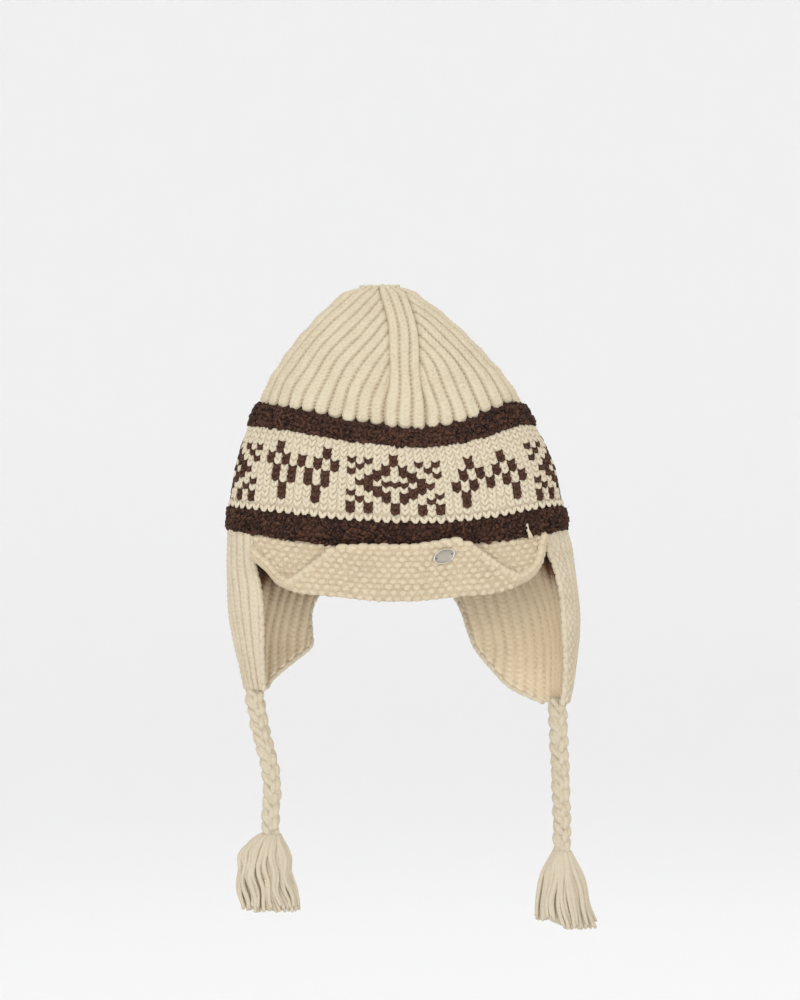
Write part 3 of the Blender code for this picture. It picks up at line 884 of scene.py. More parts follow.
def stripe(name, foot, top):
    """Rough purl bumps over a rolled wall."""
    low, high = foot * HAT_HEIGHT, top * HAT_HEIGHT
    ups, outs = shares(STRIPE_FACE, "up"), shares(STRIPE_FACE, "out", STRIPE_ROLL)
    bump, level = pairs(PURLS_AROUND, PURL_ROWS)
    count = len(bump)
    up_share = 0.94 * (level + 0.35) / PURL_ROWS + chance.normal(0, 0.030, count)
    height = low + (high - low) * np.clip(up_share, 0.0, 0.93)
    share = (bump + 0.5 * (level % 2) + chance.normal(0, 0.13, count)) / PURLS_AROUND
    spot, right, up, out = skin_frame(share, height)
    distance = smooth(np.clip(up_share, 0, 1), ups, outs) - PURL_SINK + chance.normal(0, 0.00035, count)
    distance = distance + LOW_ROLL * np.exp(-((up_share / 0.14) ** 2))
    centre = spot + out * distance[:, None]
    tip = chance.normal(0, PURL_LEAN, (count, 1))
    size = chance.uniform(0.8, 1.15, (count, 1))
    bend = np.where(level % 2 == 0, 1, -1) * chance.uniform(0.0, 0.0008, count)
    bumps = spindles(
        centre,
        (right * np.cos(tip) + up * np.sin(tip)) * PURL_HALF * size,
        (up * np.cos(tip) - right * np.sin(tip)) * PURL_WIDE * size,
        out * PURL_THICK * size,
        bend=up * bend[:, None],
        tone=chance.uniform(-0.9, 0.9, count),
        shade=0.50,
    )
    face = [(row.up, row.out * STRIPE_ROLL - PURL_SINK) for row in STRIPE_FACE] + [(1 + TUCK, -0.0030)]
    wall = backing(foot, top, face, tuck=TUCK)
    piece = make_piece(name + "_bumps", [bumps, wall], [BROWN])
    return dress(piece, name)


upper_stripe = stripe("upper_stripe", UPPER_STRIPE_FOOT, UPPER_STRIPE_TOP)
lower_stripe = stripe("lower_stripe", HEM, LOWER_STRIPE_TOP)

# %% [markdown]
# ## The ribbed crown
# Forty-four ribs rise from rounded ends over the dark stripe. Three upright ribs run up the front,
# and those beside them lean in and slip underneath one after another, because the top is drawn
# together. One bumpy map on a dome would let the ribs shrink to points. Sheets whose columns follow
# the ribs keep them full width and let the side sheets really pass under the middle strip.

# %% Sizes of the ribs
RIBS = 44
RIB_COLUMNS = 12
CROWN_ROWS = 112
RIB_DEPTH = 0.0025
RIB_DRAWS = 64
FOOT_TUCK = 0.0016
FOOT_ARCH = 0.0052
FOOT_ROUND = 0.0026
RIB_PULL = table("height pull", [
    (0.545, 1.00),
    (0.624, 1.00),
    (0.695, 1.03),
    (0.770, 1.11),
    (0.835, 1.30),
    (0.902, 1.64),
    (0.955, 2.17),
    (0.995, 2.80),
])
STRIP_SLIM = 0.06
CROWN_LEAN = table("height ribs", [
    (0.545, 0.0),
    (0.680, 0.5),
    (0.760, 1.0),
    (0.840, 1.6),
    (0.900, 2.1),
    (0.955, 2.6),
    (0.995, 2.8),
])
STRIP_MIDDLE = 1.0
STRIP_HALF = 1.5
STRIP_LIFT = 0.0006
STRIP_EDGE = 0.0030
SHEET_SINK = 0.0032
TOP_ROWS = (0.30, 0.55, 0.75, 0.90, 1.00)
TOP_LEVEL = 0.75
TOP_RISE = 0.0020
TOP_DIP = 0.0035
INNER_COLUMNS = 88

# %% The relief of a rib
def yarn_way(rows_up, leg):
    """Where points of a rib are on their yarn: along it in millimetres, and round it."""
    return np.stack([rows_up * KNIT_RISE * 1000, np.cos(leg * math.pi), np.sin(leg * math.pi)], axis=-1)


def rib_relief(across, rows_up, depth):
    """How far the knit stands out across a rib, and its painted shade: dark in grooves and between legs."""
    side = np.clip(np.abs(across) * (1 + 0.13 * np.cos(2 * math.pi * rows_up)), 0, 1)
    leg = (rows_up - 0.85 * side) % 1.0
    leg_bump = 1 - np.abs(2 * leg - 1) ** 2.0
    middle = np.exp(-((across / 0.16) ** 2))
    purl = np.clip((side - 0.70) / 0.3, 0, 1) * (0.5 + 0.5 * np.cos(2 * math.pi * (rows_up + 0.5)))
    relief = -depth * side ** 3.0 + 0.00080 * leg_bump * (1 - side ** 4)
    relief = relief - 0.00030 * middle + depth * 0.55 * purl
    # Painted shade: darker in the groove and between the legs, lighter on the purl bumps in the groove.
    groove = np.clip((side - 0.55) / 0.45, 0, 1) ** 1.8 * (1 - 0.75 * purl)
    shade = 0.62 * groove + 0.08 * middle * (1 - leg_bump) + 0.19 * (1 - leg_bump)
    return relief, shade, yarn_way(rows_up + 0.85 * side, leg)

# %% Sheets of ribs
def closed_top(grid):
    """The grid with more rows, which close it over the top, pressed flat from front to back."""
    for closing in TOP_ROWS:
        row = grid[CROWN_ROWS - 1].copy()
        row[:, 1] *= math.cos(closing * math.pi / 2)
        row[:, 2] += TOP_RISE * math.sin(min(closing, TOP_LEVEL) / TOP_LEVEL * math.pi / 2)
        row[:, 2] -= TOP_DIP * max(closing - TOP_LEVEL, 0) / (1 - TOP_LEVEL)
        grid = np.concatenate([grid, row[None]])
    return grid


def crown_sheet(first, last, anchor, is_strip=False, under=()):
    """A sheet of whole ribs from rib number first to last, whose columns follow the ribs.

    A strip lies on top. Other sheets sink under each middle, to the side of its sign."""
    count = (last - first + 1) * RIB_COLUMNS + 1
    rib = np.linspace(first - 0.5, last + 0.5, count)
    number = np.clip(np.round(rib), first, last).astype(int)
    across = np.clip((rib - number) * 2, -1, 1)
    across[0], across[-1] = -1, 1
    foot = UPPER_STRIPE_TOP * HAT_HEIGHT - FOOT_TUCK
    rise = np.linspace(0, 1, CROWN_ROWS)[:, None]
    height = foot + (HEIGHTS[-1] - foot) * rise + 0 * rib
    tip = np.clip(1 - rise * 9, 0, 1)
    tip_long = chance.normal(0, 0.0006, RIB_DRAWS)[number % RIB_DRAWS]
    height = height + (FOOT_ARCH * (1 - np.sqrt(1 - 0.97 * across ** 2)) + tip_long) * tip
    height = np.minimum(height, HEIGHTS[-1])
    pull = smooth(height, shares(RIB_PULL, "height", HAT_HEIGHT), shares(RIB_PULL, "pull"))
    slim = pull * (1 - STRIP_SLIM * np.clip((rise - 0.25) / 0.3, 0, 1))
    wander = chance.uniform(0, 6, RIB_DRAWS)[number % RIB_DRAWS]
    sway = 0.07 * np.sin(height * 150 + rib * 0.9) * np.clip(rise * 6, 0, 1)
    lean = smooth(height, shares(CROWN_LEAN, "height", HAT_HEIGHT), shares(CROWN_LEAN, "ribs"))
    shift = lean * np.clip(1.1 - np.abs(rib - STRIP_MIDDLE) / 10, 0, 1)
    share = (anchor + (rib - anchor) * (slim if is_strip else pull) + shift + sway) / RIBS
    spot, _, _, out = skin_frame(share, height)
    tones = chance.uniform(-0.12, 0.12, RIB_DRAWS)[number % RIB_DRAWS]
    rows_up = height / KNIT_RISE * (1.0 + 0.25 * rise) + wander
    relief, shade, way = rib_relief(across + 0 * height, rows_up, RIB_DEPTH * (1 - 0.40 * rise))
    bumpy = 0.0005 * np.sin(height * 420 + wander * 2) * (1 - np.abs(across))
    round_foot = -FOOT_ROUND * np.clip(1 - rise * 26, 0, 1) ** 2
    keep = np.ones(height.shape, bool)
    if is_strip:
        rim = np.clip(np.minimum(rib - rib[0], rib[-1] - rib) / 0.35, 0, 1)
        edge = STRIP_LIFT - STRIP_EDGE * (1 - rim) ** 2 + 0 * height
    else:
        edge = np.zeros_like(height)
        for sign, middle in under:
            centre = middle + lean * (middle == STRIP_MIDDLE)
            inside = (share * RIBS - centre) * sign + STRIP_HALF * slim
            edge = edge - SHEET_SINK * np.clip((inside + 0.40) / 0.6, 0, 1)
            keep &= inside < 0.9
    grid = spot + out * (relief + bumpy + round_foot + edge)[..., None]
    pad = [(0, len(TOP_ROWS)), (0, 0)]
    return sheet_form(
        closed_top(grid),
        tone=np.pad(tones + 0 * height, pad, "edge"),
        shade=np.pad(shade, pad, "edge"),
        yarn=np.pad(way, pad + [(0, 0)], "edge"),
        keep=np.pad(keep, pad, "edge"),
    )


front_middle, back_middle = STRIP_MIDDLE, STRIP_MIDDLE + RIBS / 2
crown_forms = [
    crown_sheet(-20, 0, -11.0, under=[(1, front_middle), (-1, back_middle - RIBS)]),
    crown_sheet(2, 22, 11.0, under=[(-1, front_middle), (1, back_middle)]),
    crown_sheet(0, 2, front_middle, is_strip=True),
    crown_sheet(22, 24, back_middle, is_strip=True),
]
# A wall lines the inside of the crown, with a painted shade for the hat's hollow.
share = np.arange(INNER_COLUMNS) / INNER_COLUMNS
inner_rows = []
for height in np.linspace(UPPER_STRIPE_TOP * HAT_HEIGHT, HEIGHTS[-1] - 0.002, 30):
    spot, _, _, out = skin_frame(share, height)
    inner_rows.append(spot - out * WALL)
inner_rows.append(inner_rows[-1] * [1, 0.05, 1])
crown_forms.append(sheet_form(np.stack(inner_rows), shade=0.6, round_it=True, flip=True))
crown = make_piece("crown_ribs", crown_forms, [CROWN_CREAM])
dress(crown, "crown")

# %% [markdown]
# ## The ear flaps
# Each flap is a strip of the same rib that narrows to its tie. It curls in behind, so both of its
# faces show: the front edge from outside, and the hollow of the rear half from inside. One closed
# sheet with ribs on both faces and rounded edges has that thickness all round. The hollow has its
# own lighter colour as painted light, and a painted shade that grows dark right behind the front
# edge, where the points carry a shade past 1.

# %% Sizes of the flaps
LEFT_FLAP = table("drop rim front rear middle depth", [
    (-0.063, -0.991, -0.846, -0.190, 0.009, 0.857),
    (0.030, -0.994, -0.846, -0.270, 0.000, 0.857),
    (0.118, -0.996, -0.842, -0.360, -0.062, 0.849),
    (0.261, -0.994, -0.811, -0.448, -0.169, 0.825),
    (0.450, -0.984, -0.795, -0.520, -0.338, 0.738),
    (0.563, -0.965, -0.794, -0.514, -0.438, 0.667),
    (0.646, -0.948, -0.796, -0.516, -0.485, 0.587),
    (0.734, -0.925, -0.793, -0.619, -0.592, 0.429),
    (0.794, -0.913, -0.790, -0.694, -0.677, 0.317),
    (0.856, -0.900, -0.785, -0.755, -0.750, 0.206),
    (0.888, -0.896, -0.781, -0.767, -0.773, 0.163),
])
RIGHT_FLAP = table("drop rim front rear middle depth", [
    (-0.063, 1.009, 0.892, 0.060, 0.009, 0.857),
    (0.033, 1.036, 0.904, 0.130, 0.023, 0.857),
    (0.118, 1.048, 0.939, 0.205, 0.062, 0.849),
    (0.261, 1.066, 0.977, 0.314, 0.169, 0.825),
    (0.450, 1.085, 0.997, 0.409, 0.323, 0.738),
    (0.563, 1.082, 1.002, 0.444, 0.400, 0.651),
    (0.652, 1.073, 1.010, 0.480, 0.446, 0.571),
    (0.723, 1.064, 1.012, 0.533, 0.500, 0.492),
    (0.788, 1.056, 1.012, 0.592, 0.554, 0.421),
    (0.856, 1.046, 1.008, 0.655, 0.623, 0.350),
    (0.900, 1.038, 1.004, 0.715, 0.685, 0.300),
    (0.940, 1.032, 0.998, 0.800, 0.775, 0.235),
    (0.971, 1.029, 0.990, 0.874, 0.854, 0.180),
])
FLAP_COLUMNS = 150
FLAP_ROWS = 128
FLAP_ROUND = 0.0030
FLAP_RIB_DEPTH = 0.0014
SEED_CHEQUER = 0.0066
POCKET_WIDE = 0.009
POCKET_SHADE = 0.30
NOTCH_WIDE = 0.010
NOTCH_SHADE = 2.3
TUCKED_IN = 0.0006
EDGE_STEP = 0.0046
EDGE_HALF = (0.0037, 0.0022, 0.0026)
LEFT_LINE = table("drop across", [
    (-0.063, -0.700),
    (0.130, -0.700),
    (0.36, -0.746),
    (0.59, -0.782),
    (0.888, -0.790),
])
RIGHT_LINE = table("drop across", [
    (-0.063, 0.790),
    (0.130, 0.811),
    (0.36, 0.870),
    (0.59, 0.918),
    (0.971, 0.924),
])

# %% The skin and the ribs of a flap
def flap_skin(rows, side, drops, along):
    """The flap's outer skin at drops by shares of its width."""
    known = shares(rows, "drop")
    rim, front, rear, middle, depth = (
        smooth(drops, known, shares(rows, name, HALF_WIDTH))[:, None]
        for name in ("rim", "front", "rear", "middle", "depth")
    )
    depth = depth * HALF_DEPTH / HALF_WIDTH
    reach = np.abs(rim - middle)
    first = np.arcsin(np.clip((front - middle) * side / reach, -1, 1))
    last = math.pi - np.arcsin(np.clip((rear - middle) * side / reach, -1, 1))
    angle = first + (last - first) * along[None, :]
    sag = SAG[0] * np.maximum(0.0, 1 - np.maximum(0.0, drops + 0.063) / 0.45)[:, None]
    up = -drops[:, None] * FLAP_DROP - sag * np.cos(angle) ** 2 - GAP
    return np.stack([middle + side * reach * np.sin(angle), -depth * np.cos(angle), up], axis=-1)


def grid_out(grid):
    return unit(np.cross(np.gradient(grid, axis=1), np.gradient(grid, axis=0)))


def flap_ribs(skin, gone, drops, line, side, pitch):
    """The rib that each point is on, counted from the front edge, and the column of the rim.

    A line runs down the inside. Ribs behind it keep one pitch, and those in front of it are
    spread over what is left."""
    rim = np.argmax(skin[:, :, 0] * side, axis=1)
    steady = np.zeros((FLAP_ROWS, 1))
    for level, first in enumerate(rim):
        steady[level] = np.interp(-line[level] * side, -skin[level, first:, 0] * side, gone[level, first:])
    before = round(float(steady[0, 0] / pitch[0]))
    ribs = np.where(gone < steady, gone / steady * before, before + (gone - steady) / pitch[1])
    return ribs + 0.10 * np.sin(drops * 9 + 0.7 * ribs), rim


def hollow_shade(skin, drops, rim, side, hollow):
    """The painted shade of the inside from low down to high up, dark right behind the front edge."""
    depth = np.clip((0.42 - drops) / 0.42, 0, 1)
    beyond = np.maximum(0, (skin[:, :1, 0] - skin[:, :, 0]) * side)
    behind = np.arange(FLAP_COLUMNS)[None, :] > rim[:, None]
    pocket = behind * np.exp(-((beyond / POCKET_WIDE) ** 2)) * np.clip((0.42 - drops) / 0.25, 0, 1)
    notch = behind * np.exp(-((beyond / NOTCH_WIDE) ** 2)) * np.clip((0.30 - drops) / 0.22, 0, 1)
    inside = hollow[0] + (hollow[1] - hollow[0]) * depth
    return inside + POCKET_SHADE * pocket + NOTCH_SHADE * notch ** 1.3


def hollow_relief(across, rows_up):
    """The back of the rib: narrow raised columns, purl dots between them, painted shade in the valleys."""
    side = np.abs(across)
    leg = (rows_up - 0.5 * side) % 1.0
    leg_bump = 1 - np.abs(2 * leg - 1) ** 2.0
    ridge = np.exp(-((side / 0.70) ** 4))
    dots = (1 - ridge) * (0.5 + 0.5 * np.cos(2 * math.pi * (rows_up + (across > 0) * 0.5)))
    relief = 0.0015 * ridge + 0.00085 * ridge * leg_bump + 0.0006 * dots - 0.0013
    shade = 0.55 * (1 - ridge) * (1 - 0.5 * dots) + 0.24 * (1 - leg_bump)
    return relief, shade, yarn_way(rows_up + 0.5 * side, leg)


def edge_chain(line, out, step, half, sway=0.22):
    """Overlapping stitches along an edge, with three half sizes and a sway to and fro."""
    gone = run_along(line)
    count = int(gone[-1] / step)
    at = (np.arange(count) + 0.5) / count * gone[-1]
    ahead = unit(at_run(at + AHEAD, gone, line) - at_run(at - AHEAD, gone, line))
    face = at_run(at, gone, out)
    face = unit(face - ahead * np.einsum("ij,ij->i", face, ahead)[:, None])
    over = np.cross(ahead, face)
    tilt = face * sway * (1 - 2 * (np.arange(count) % 2))[:, None]
    spot = at_run(at, gone, line)
    tone = chance.uniform(-0.2, 0.2, count)
    return spindles(spot, (ahead + tilt) * half[0], over * half[1], face * half[2], tone=tone)

# %% The flaps
def back_again(values):
    """The columns in the other order, without the two edges, for the sheet's other face."""
    return values[:, ::-1][:, 1:-1]


def flap(name, rows, line_rows, side, seed_edge, hollow, pitch):
    """A flap with ribs on both faces.

    hollow is the painted shade of its inside low down and high up, and pitch the ribs' width in front
    of the rim and behind it."""
    known = shares(rows, "drop")
    drops = np.linspace(known[0], known[-1], FLAP_ROWS)
    line = smooth(drops, shares(line_rows, "drop"), shares(line_rows, "across", HALF_WIDTH))
    along = np.linspace(0, 1, FLAP_COLUMNS)
    skin = flap_skin(rows, side, drops, along)
    drops = drops[:, None]
    out = grid_out(skin) * -side
    width = np.linalg.norm(np.diff(skin, axis=1), axis=2).sum(axis=1)[:, None]
    gone = along[None, :] * width
    skin[0, :, 2] += TUCKED_IN
    ribs, rim = flap_ribs(skin, gone, drops, line, side, pitch)
    number = np.floor(ribs).astype(int) % RIB_DRAWS
    rows_up = -drops * FLAP_DROP / KNIT_RISE + chance.uniform(0, 1, RIB_DRAWS)[number]
    relief_out, shade_out, way_out = rib_relief((ribs % 1.0) * 2 - 1, rows_up, FLAP_RIB_DEPTH)
    seed = np.clip((seed_edge - gone) / 0.003, 0, 1)
    chequer = np.cos(2 * math.pi * gone / SEED_CHEQUER) * np.cos(math.pi * drops * FLAP_DROP / KNIT_RISE)
    relief_out = relief_out * (1 - seed) + seed * (0.0009 * chequer - 0.0004)
    # Painted shade outside: the rib grooves, and the sunk squares of the seed edge.
    shade_out = shade_out * 0.62 * (1 - seed) + seed * (0.14 - 0.14 * chequer)
    relief_in, shade_in, way_in = hollow_relief(((ribs + 0.5) % 1.0) * 2 - 1, rows_up)
    edge = np.minimum(gone, width - gone) / FLAP_ROUND
    foot = (known[-1] - drops) * FLAP_DROP / FLAP_ROUND
    plump = np.sqrt(1 - (1 - np.clip(np.minimum(edge, foot), 0, 1)) ** 2)
    small = np.clip(width / 0.04, 0.4, 1.0)
    middle = skin - out * FLAP_WALL / 2
    half = (FLAP_WALL / 2 + 0.0004) * plump
    outer = middle + out * (half + relief_out * plump * small)[..., None]
    inner = middle - out * (half + relief_in * plump * small)[..., None]
    grid = np.concatenate([outer, back_again(inner)], axis=1)
    # Painted shade inside: its valleys, its hollow, and the pocket and notch behind the front edge.
    inside = hollow_shade(skin, drops, rim, side, hollow)
    shade = np.concatenate([shade_out, back_again(shade_in + inside)], axis=1)
    yarn = np.concatenate([way_out, back_again(way_in)], axis=1)
    tones = chance.uniform(-0.12, 0.12, RIB_DRAWS)[number]
    tone = np.concatenate([tones, back_again(tones)], axis=1)
    look = (np.arange(grid.shape[1]) >= FLAP_COLUMNS).astype(int)
    forms = [sheet_form(grid, tone, shade, yarn, look, round_it=True, flip=side < 0)]
    for column in (0, FLAP_COLUMNS - 1):
        forms.append(edge_chain(middle[:, column], out[:, column], EDGE_STEP, EDGE_HALF))
    piece = make_piece(name + "_ribs", forms, [FLAP_CREAM, FLAP_INSIDE], weld=True)
    return dress(piece, name)


left_flap = flap("ear_flap_left", LEFT_FLAP, LEFT_LINE, -1, 0.0, (-0.26, 0.62), (0.0092, 0.0059))
right_flap = flap("ear_flap_right", RIGHT_FLAP, RIGHT_LINE, 1, 0.014, (-0.33, -0.50), (0.0074, 0.0064))

# %% [markdown]
# ## The peak
# The peak is a strip of seed stitch that hangs from the hem and is folded up in front of itself.
# Seed stitch is a chequer of purl bumps and small knit legs, with gaps between that a painted shade
# makes dark. They are laid in rows along the cloth's own path: down the back layer, round the fold
# and up the front. The edges get overlapping stitches of their own, and a loose end of yarn lies over
# the stripe. The right corner is drawn in a little from the imported model's, as the picture shows.

# %% The peak's path
PEAK = table("across fold free", [
    (-0.826, 0.235, 0.180),
    (-0.800, 0.290, 0.235),
    (-0.740, 0.391, 0.335),
    (-0.681, 0.538, 0.470),
    (-0.619, 0.605, 0.530),
    (-0.545, 0.644, 0.430),
    (-0.445, 0.660, 0.270),
    (-0.344, 0.678, 0.090),
    (-0.315, 0.684, 0.078),
    (-0.200, 0.715, 0.075),
    (-0.070, 0.733, 0.073),
    (0.100, 0.733, 0.073),
    (0.220, 0.710, 0.040),
    (0.330, 0.684, -0.010),
    (0.395, 0.672, 0.030),
    (0.480, 0.660, 0.160),
    (0.560, 0.640, 0.285),
    (0.616, 0.611, 0.370),
    (0.687, 0.562, 0.440),
    (0.758, 0.501, 0.440),
    (0.800, 0.420, 0.360),
    (0.826, 0.330, 0.275),
    (0.840, 0.225, 0.165),
    (0.852, 0.090, 0.030),
    (0.872, 0.040, -0.020),
])
TURNS = (-1.0, -0.85, -0.5, 0.0, 0.5, 0.85, 1.0)


def peak_cloth(across):
    """Rows of points down the back layer, round the fold and up in front, and each row's way out."""
    known = shares(PEAK, "across", HALF_WIDTH)
    fold = -np.interp(across, known, shares(PEAK, "fold", HALF_DEPTH)) + PEAK_WALL / 2
    free = -np.interp(across, known, shares(PEAK, "free", HALF_DEPTH))
    angle = np.arcsin((across - SHIFT[0]) / WIDE[0])
    edge = on_skin(angle, HEIGHTS[0])
    ahead = on_skin(angle + NEAR, HEIGHTS[0]) - on_skin(angle - NEAR, HEIGHTS[0])
    away = unit(np.cross(ahead, [0, 0, 1]))
    top = edge[:, 2] - GAP
    rise = np.maximum(free - fold, PEAK_FOLD + 0.0012)
    lean = PEAK_LEAN * (top - fold) / (top - fold).max()
    back = lean - PEAK_SET_BACK
    front = back + 2 * PEAK_FOLD
    path = []
    for part in np.linspace(0, 0.94, 9):
        path.append((back - lean * (1 - part), top + (fold + PEAK_FOLD - top) * part, -1.0, 0.0))
    for turn in TURNS:
        drop = -math.sqrt(1 - turn * turn)
        path.append((back + PEAK_FOLD * (1 + turn), fold + PEAK_FOLD * (1 + drop), turn, drop))
    for part in np.linspace(0.08, 1, 10):
        near = front - lean * 0.2 * part * rise / rise.max()
        path.append((near, fold + PEAK_FOLD + (rise - PEAK_FOLD) * part, 1.0, 0.0))
    skin, ways = [], []
    for out, up, way_out, way_up in path:
        skin.append(np.concatenate([edge[:, :2] + away[:, :2] * out[:, None], up[:, None]], axis=1))
        ways.append(away * way_out + np.array([0, 0, way_up]))
    skin[0][:, 2] += TUCKED_IN
    return np.stack(skin), np.stack(ways)

# %% Seed stitch on the peak
SEED_RISE = 0.0042
SEED_LEVELS = 14
PURL_BUMP = (0.0028, 0.0025, 0.0021)
PURL_BUMP_SINK = 0.0011
KNIT_LEG = (0.0025, 0.0011, 0.0013)
KNIT_LEG_SINK = 0.0012
KNIT_LEG_APART = 0.0010
FOLD_ROW = 12
BACK_ROWS = 13
SCALLOP = (-0.36, 0.40)
LIP_FROM = (-0.60, 0.69)
SHORTEST_FRONT = 0.0085
LOOSE_END = 0.1012
FREE_EDGE_STEP = 0.0044
FREE_EDGE_HALF = (0.0040, 0.0042, 0.0032)
LIP_HALF = (0.0036, 0.0028, 0.0026)


def seed_rows(first, last, sign, count):
    """Chequered bumps and the small legs between them, over rows first to last of the cloth."""
    fine = np.linspace(PEAK[0].across * HALF_WIDTH, PEAK[-1].across * HALF_WIDTH, 400)
    cloth, _ = peak_cloth(fine)
    gone = run_along(cloth[0])
    spots = np.interp((np.arange(count) + 0.5) / count * gone[-1], gone, fine)
    cloth, ways = peak_cloth(spots)
    found = {0: [], 1: []}
    for place in range(count):
        path = cloth[:, place]
        way = ways[:, place] * sign
        run = run_along(path)
        if first > FOLD_ROW - 2 and run[-1] - run[FOLD_ROW] < SHORTEST_FRONT:
            continue
        start = run[FOLD_ROW] if first else run[0] + TUCKED_IN + 0.0003
        for level in range(-SEED_LEVELS, SEED_LEVELS + 1):
            at = start + (level + 0.5) * SEED_RISE
            if run[first] + 0.0010 < at < run[last] - 0.0012:
                ahead = at_run(at + AHEAD, run, path) - at_run(at - AHEAD, run, path)
                stitch = [at_run(at, run, path), ahead, at_run(at, run, way)]
                found[(place + level) % 2].append(np.concatenate(stitch))
    forms = []
    for kind, rows in found.items():
        rows = np.array(rows)
        centre, ahead, out = rows[:, :3], rows[:, 3:6], unit(rows[:, 6:])
        ahead = unit(ahead - out * np.einsum("ij,ij->i", ahead, out)[:, None])
        across = np.cross(out, ahead)
        many = len(centre)
        size = chance.uniform(0.9, 1.1, (many, 1))
        tone = chance.uniform(-0.35, 0.35, many)
        tilt = chance.normal(0, 0.12, (many, 1))
        jitter = across * chance.normal(0, 0.0003, (many, 1)) + ahead * chance.normal(0, 0.0003, (many, 1))
        centre = centre + jitter
        if kind == 0:
            place = centre + out * (PEAK_WALL / 2 - PURL_BUMP_SINK)
            bump = (across + ahead * tilt) * PURL_BUMP[0] * size
            forms.append(spindles(place, bump, ahead * PURL_BUMP[1] * size, out * PURL_BUMP[2], tone=tone))
            continue
        # The small legs sit lower and get a painted shade.
        for lean in (-1, 1):
            leg = unit(ahead + across * lean * 0.30) * KNIT_LEG[0] * size
            place = centre + across * lean * KNIT_LEG_APART + out * (PEAK_WALL / 2 - KNIT_LEG_SINK)
            wide, thick = across * KNIT_LEG[1] * size, out * KNIT_LEG[2]
            forms.append(spindles(place, leg, wide, thick, tone=tone, shade=0.20))
    return forms

# %% The peak's wall, edges and loose end
fine_across = np.linspace(PEAK[0].across, PEAK[-1].across, 160) * HALF_WIDTH
cloth, ways = peak_cloth(fine_across)
outer = cloth + ways * (PEAK_WALL / 2 - 0.0006)
inner = cloth - ways * (PEAK_WALL / 2 - 0.0006)
wall = np.concatenate([outer, inner[::-1], outer[:1]])
# The wall under the stitches gets a painted shade, so the gaps between them look dark.
peak_forms = [sheet_form(wall, shade=0.30)]
peak_forms += seed_rows(BACK_ROWS - 2, -1, 1, 66)
peak_forms += seed_rows(0, BACK_ROWS - 2, -1, 62)
peak_forms += seed_rows(0, BACK_ROWS - 2, 1, 62)
for outer_end, corner, inner_end in (
    (PEAK[0].across, LIP_FROM[0], SCALLOP[0]),
    (PEAK[-1].across, LIP_FROM[1], SCALLOP[1]),
):
    edge_across = np.linspace(outer_end, inner_end, 80)
    cloth, ways = peak_cloth(edge_across * HALF_WIDTH)
    lip = np.clip((np.abs(edge_across) - abs(corner)) / 0.08, 0, 1)[:, None]
    soft_edge = cloth[-1] * 0.85 + cloth[-2] * 0.15 - ways[-1] * (0.0010 + 0.0016 * lip)
    peak_forms.append(edge_chain(soft_edge, ways[-1], FREE_EDGE_STEP, FREE_EDGE_HALF, sway=0.14))
    lip_row = cloth[-1] - ways[-1] * 0.0042 + [0, 0, 0.0024]
    has_lip = lip[:, 0] > 0
    peak_forms.append(edge_chain(lip_row[has_lip], ways[-1][has_lip], EDGE_STEP, LIP_HALF, sway=0.2))
edge_across = np.linspace(SCALLOP[0], SCALLOP[1], 14) * HALF_WIDTH
cloth, ways = peak_cloth(edge_across)
many = len(edge_across)
peak_forms.append(
    spindles(
        cloth[-1] + [0, 0.0004, -0.0004],
        np.tile([0.0056, 0, 0], (many, 1)),
        np.tile([0, 0, 0.0032], (many, 1)) * chance.uniform(0.85, 1.1, (many, 1)),
        np.tile([0, -0.0029, 0], (many, 1)),
        tone=chance.uniform(-0.1, 0.2, many),
    )
)
loose_share = np.interp(math.asin((LOOSE_END - SHIFT[0]) / WIDE[0]), FINE_TURN, RIM_SHARE)
loose_route = []
for step, height in enumerate(np.linspace(HEM - 0.010, HEM + 0.046, 8)):
    spot, _, _, away = skin_frame(loose_share, max(height, HEM) * HAT_HEIGHT)
    loose_route.append(spot + away * (STRIPE_ROLL + 0.0008 * math.sin(step)) - [0.0003 * step, 0, 0])
peak_forms.append(tubes(np.array(loose_route)[None], np.linspace(0.0020, 0.0012, 8)[None], 6))
# The wall's two ends, with a painted shade.
for end in (0, -1):
    peak_forms.append(sheet_form(np.stack([outer[:, end], inner[:, end]]), shade=0.2))
peak = make_piece("peak_seed_stitch", peak_forms, [PEAK_CREAM])
dress(peak, "peak")

# %% [markdown]
# ## The oval plate
# A small oval of pressed metal is sewn on the peak through a hole at each end. Its rim is raised
# and bright, and its dish is dull. Rings of points make the dish, and the metal gets fine brushing.

# %% The oval plate
PLATE_LENGTH = 0.017
PLATE_WIDTH = 0.011
PLATE_THICK = 0.0014
PLATE_ACROSS = 0.036
PLATE_DROP = 0.0116
PLATE_TILT = math.radians(8)
PLATE_SIDES = 56
RIM_RINGS = 5
HOLE_AT = 0.70
FLOOR_OF_DISH = 0.42
PLATE = table("across up", [
    (0.90, 0.00),
    (0.98, 0.10),
    (1.00, 0.50),
    (0.97, 0.86),
    (0.93, 1.00),
    (0.88, 0.92),
    (0.83, 0.55),
    (0.80, 0.44),
    (0.45, 0.40),
    (0.01, 0.42),
])


def metal(name, colour, roughness, scratch):
    """Finely brushed metal with duller clouds."""
    finish = Finish(name, {"Metallic": 1.0})
    place = finish.place()
    stretch = finish.add("ShaderNodeMapping", {}, {"Vector": place, "Scale": (400.0, 400.0, 2600.0)})
    brush = finish.noise(stretch, 1.0, 3.0)
    finish.feed(finish.shader.inputs["Roughness"], brush * scratch + roughness)
    cloudy = finish.noise(place, 260.0, 2.0)
    dull = tuple(part * 0.72 for part in colour)
    shown = finish.mix(cloudy.held(), (*colour, 1.0), (*dull, 1.0))
    finish.feed(finish.shader.inputs["Base Color"], shown)
    relief = finish.add("ShaderNodeBump", {}, {"Strength": 0.25, "Distance": 0.0001, "Height": brush})
    finish.feed(finish.shader.inputs["Normal"], relief)
    return finish


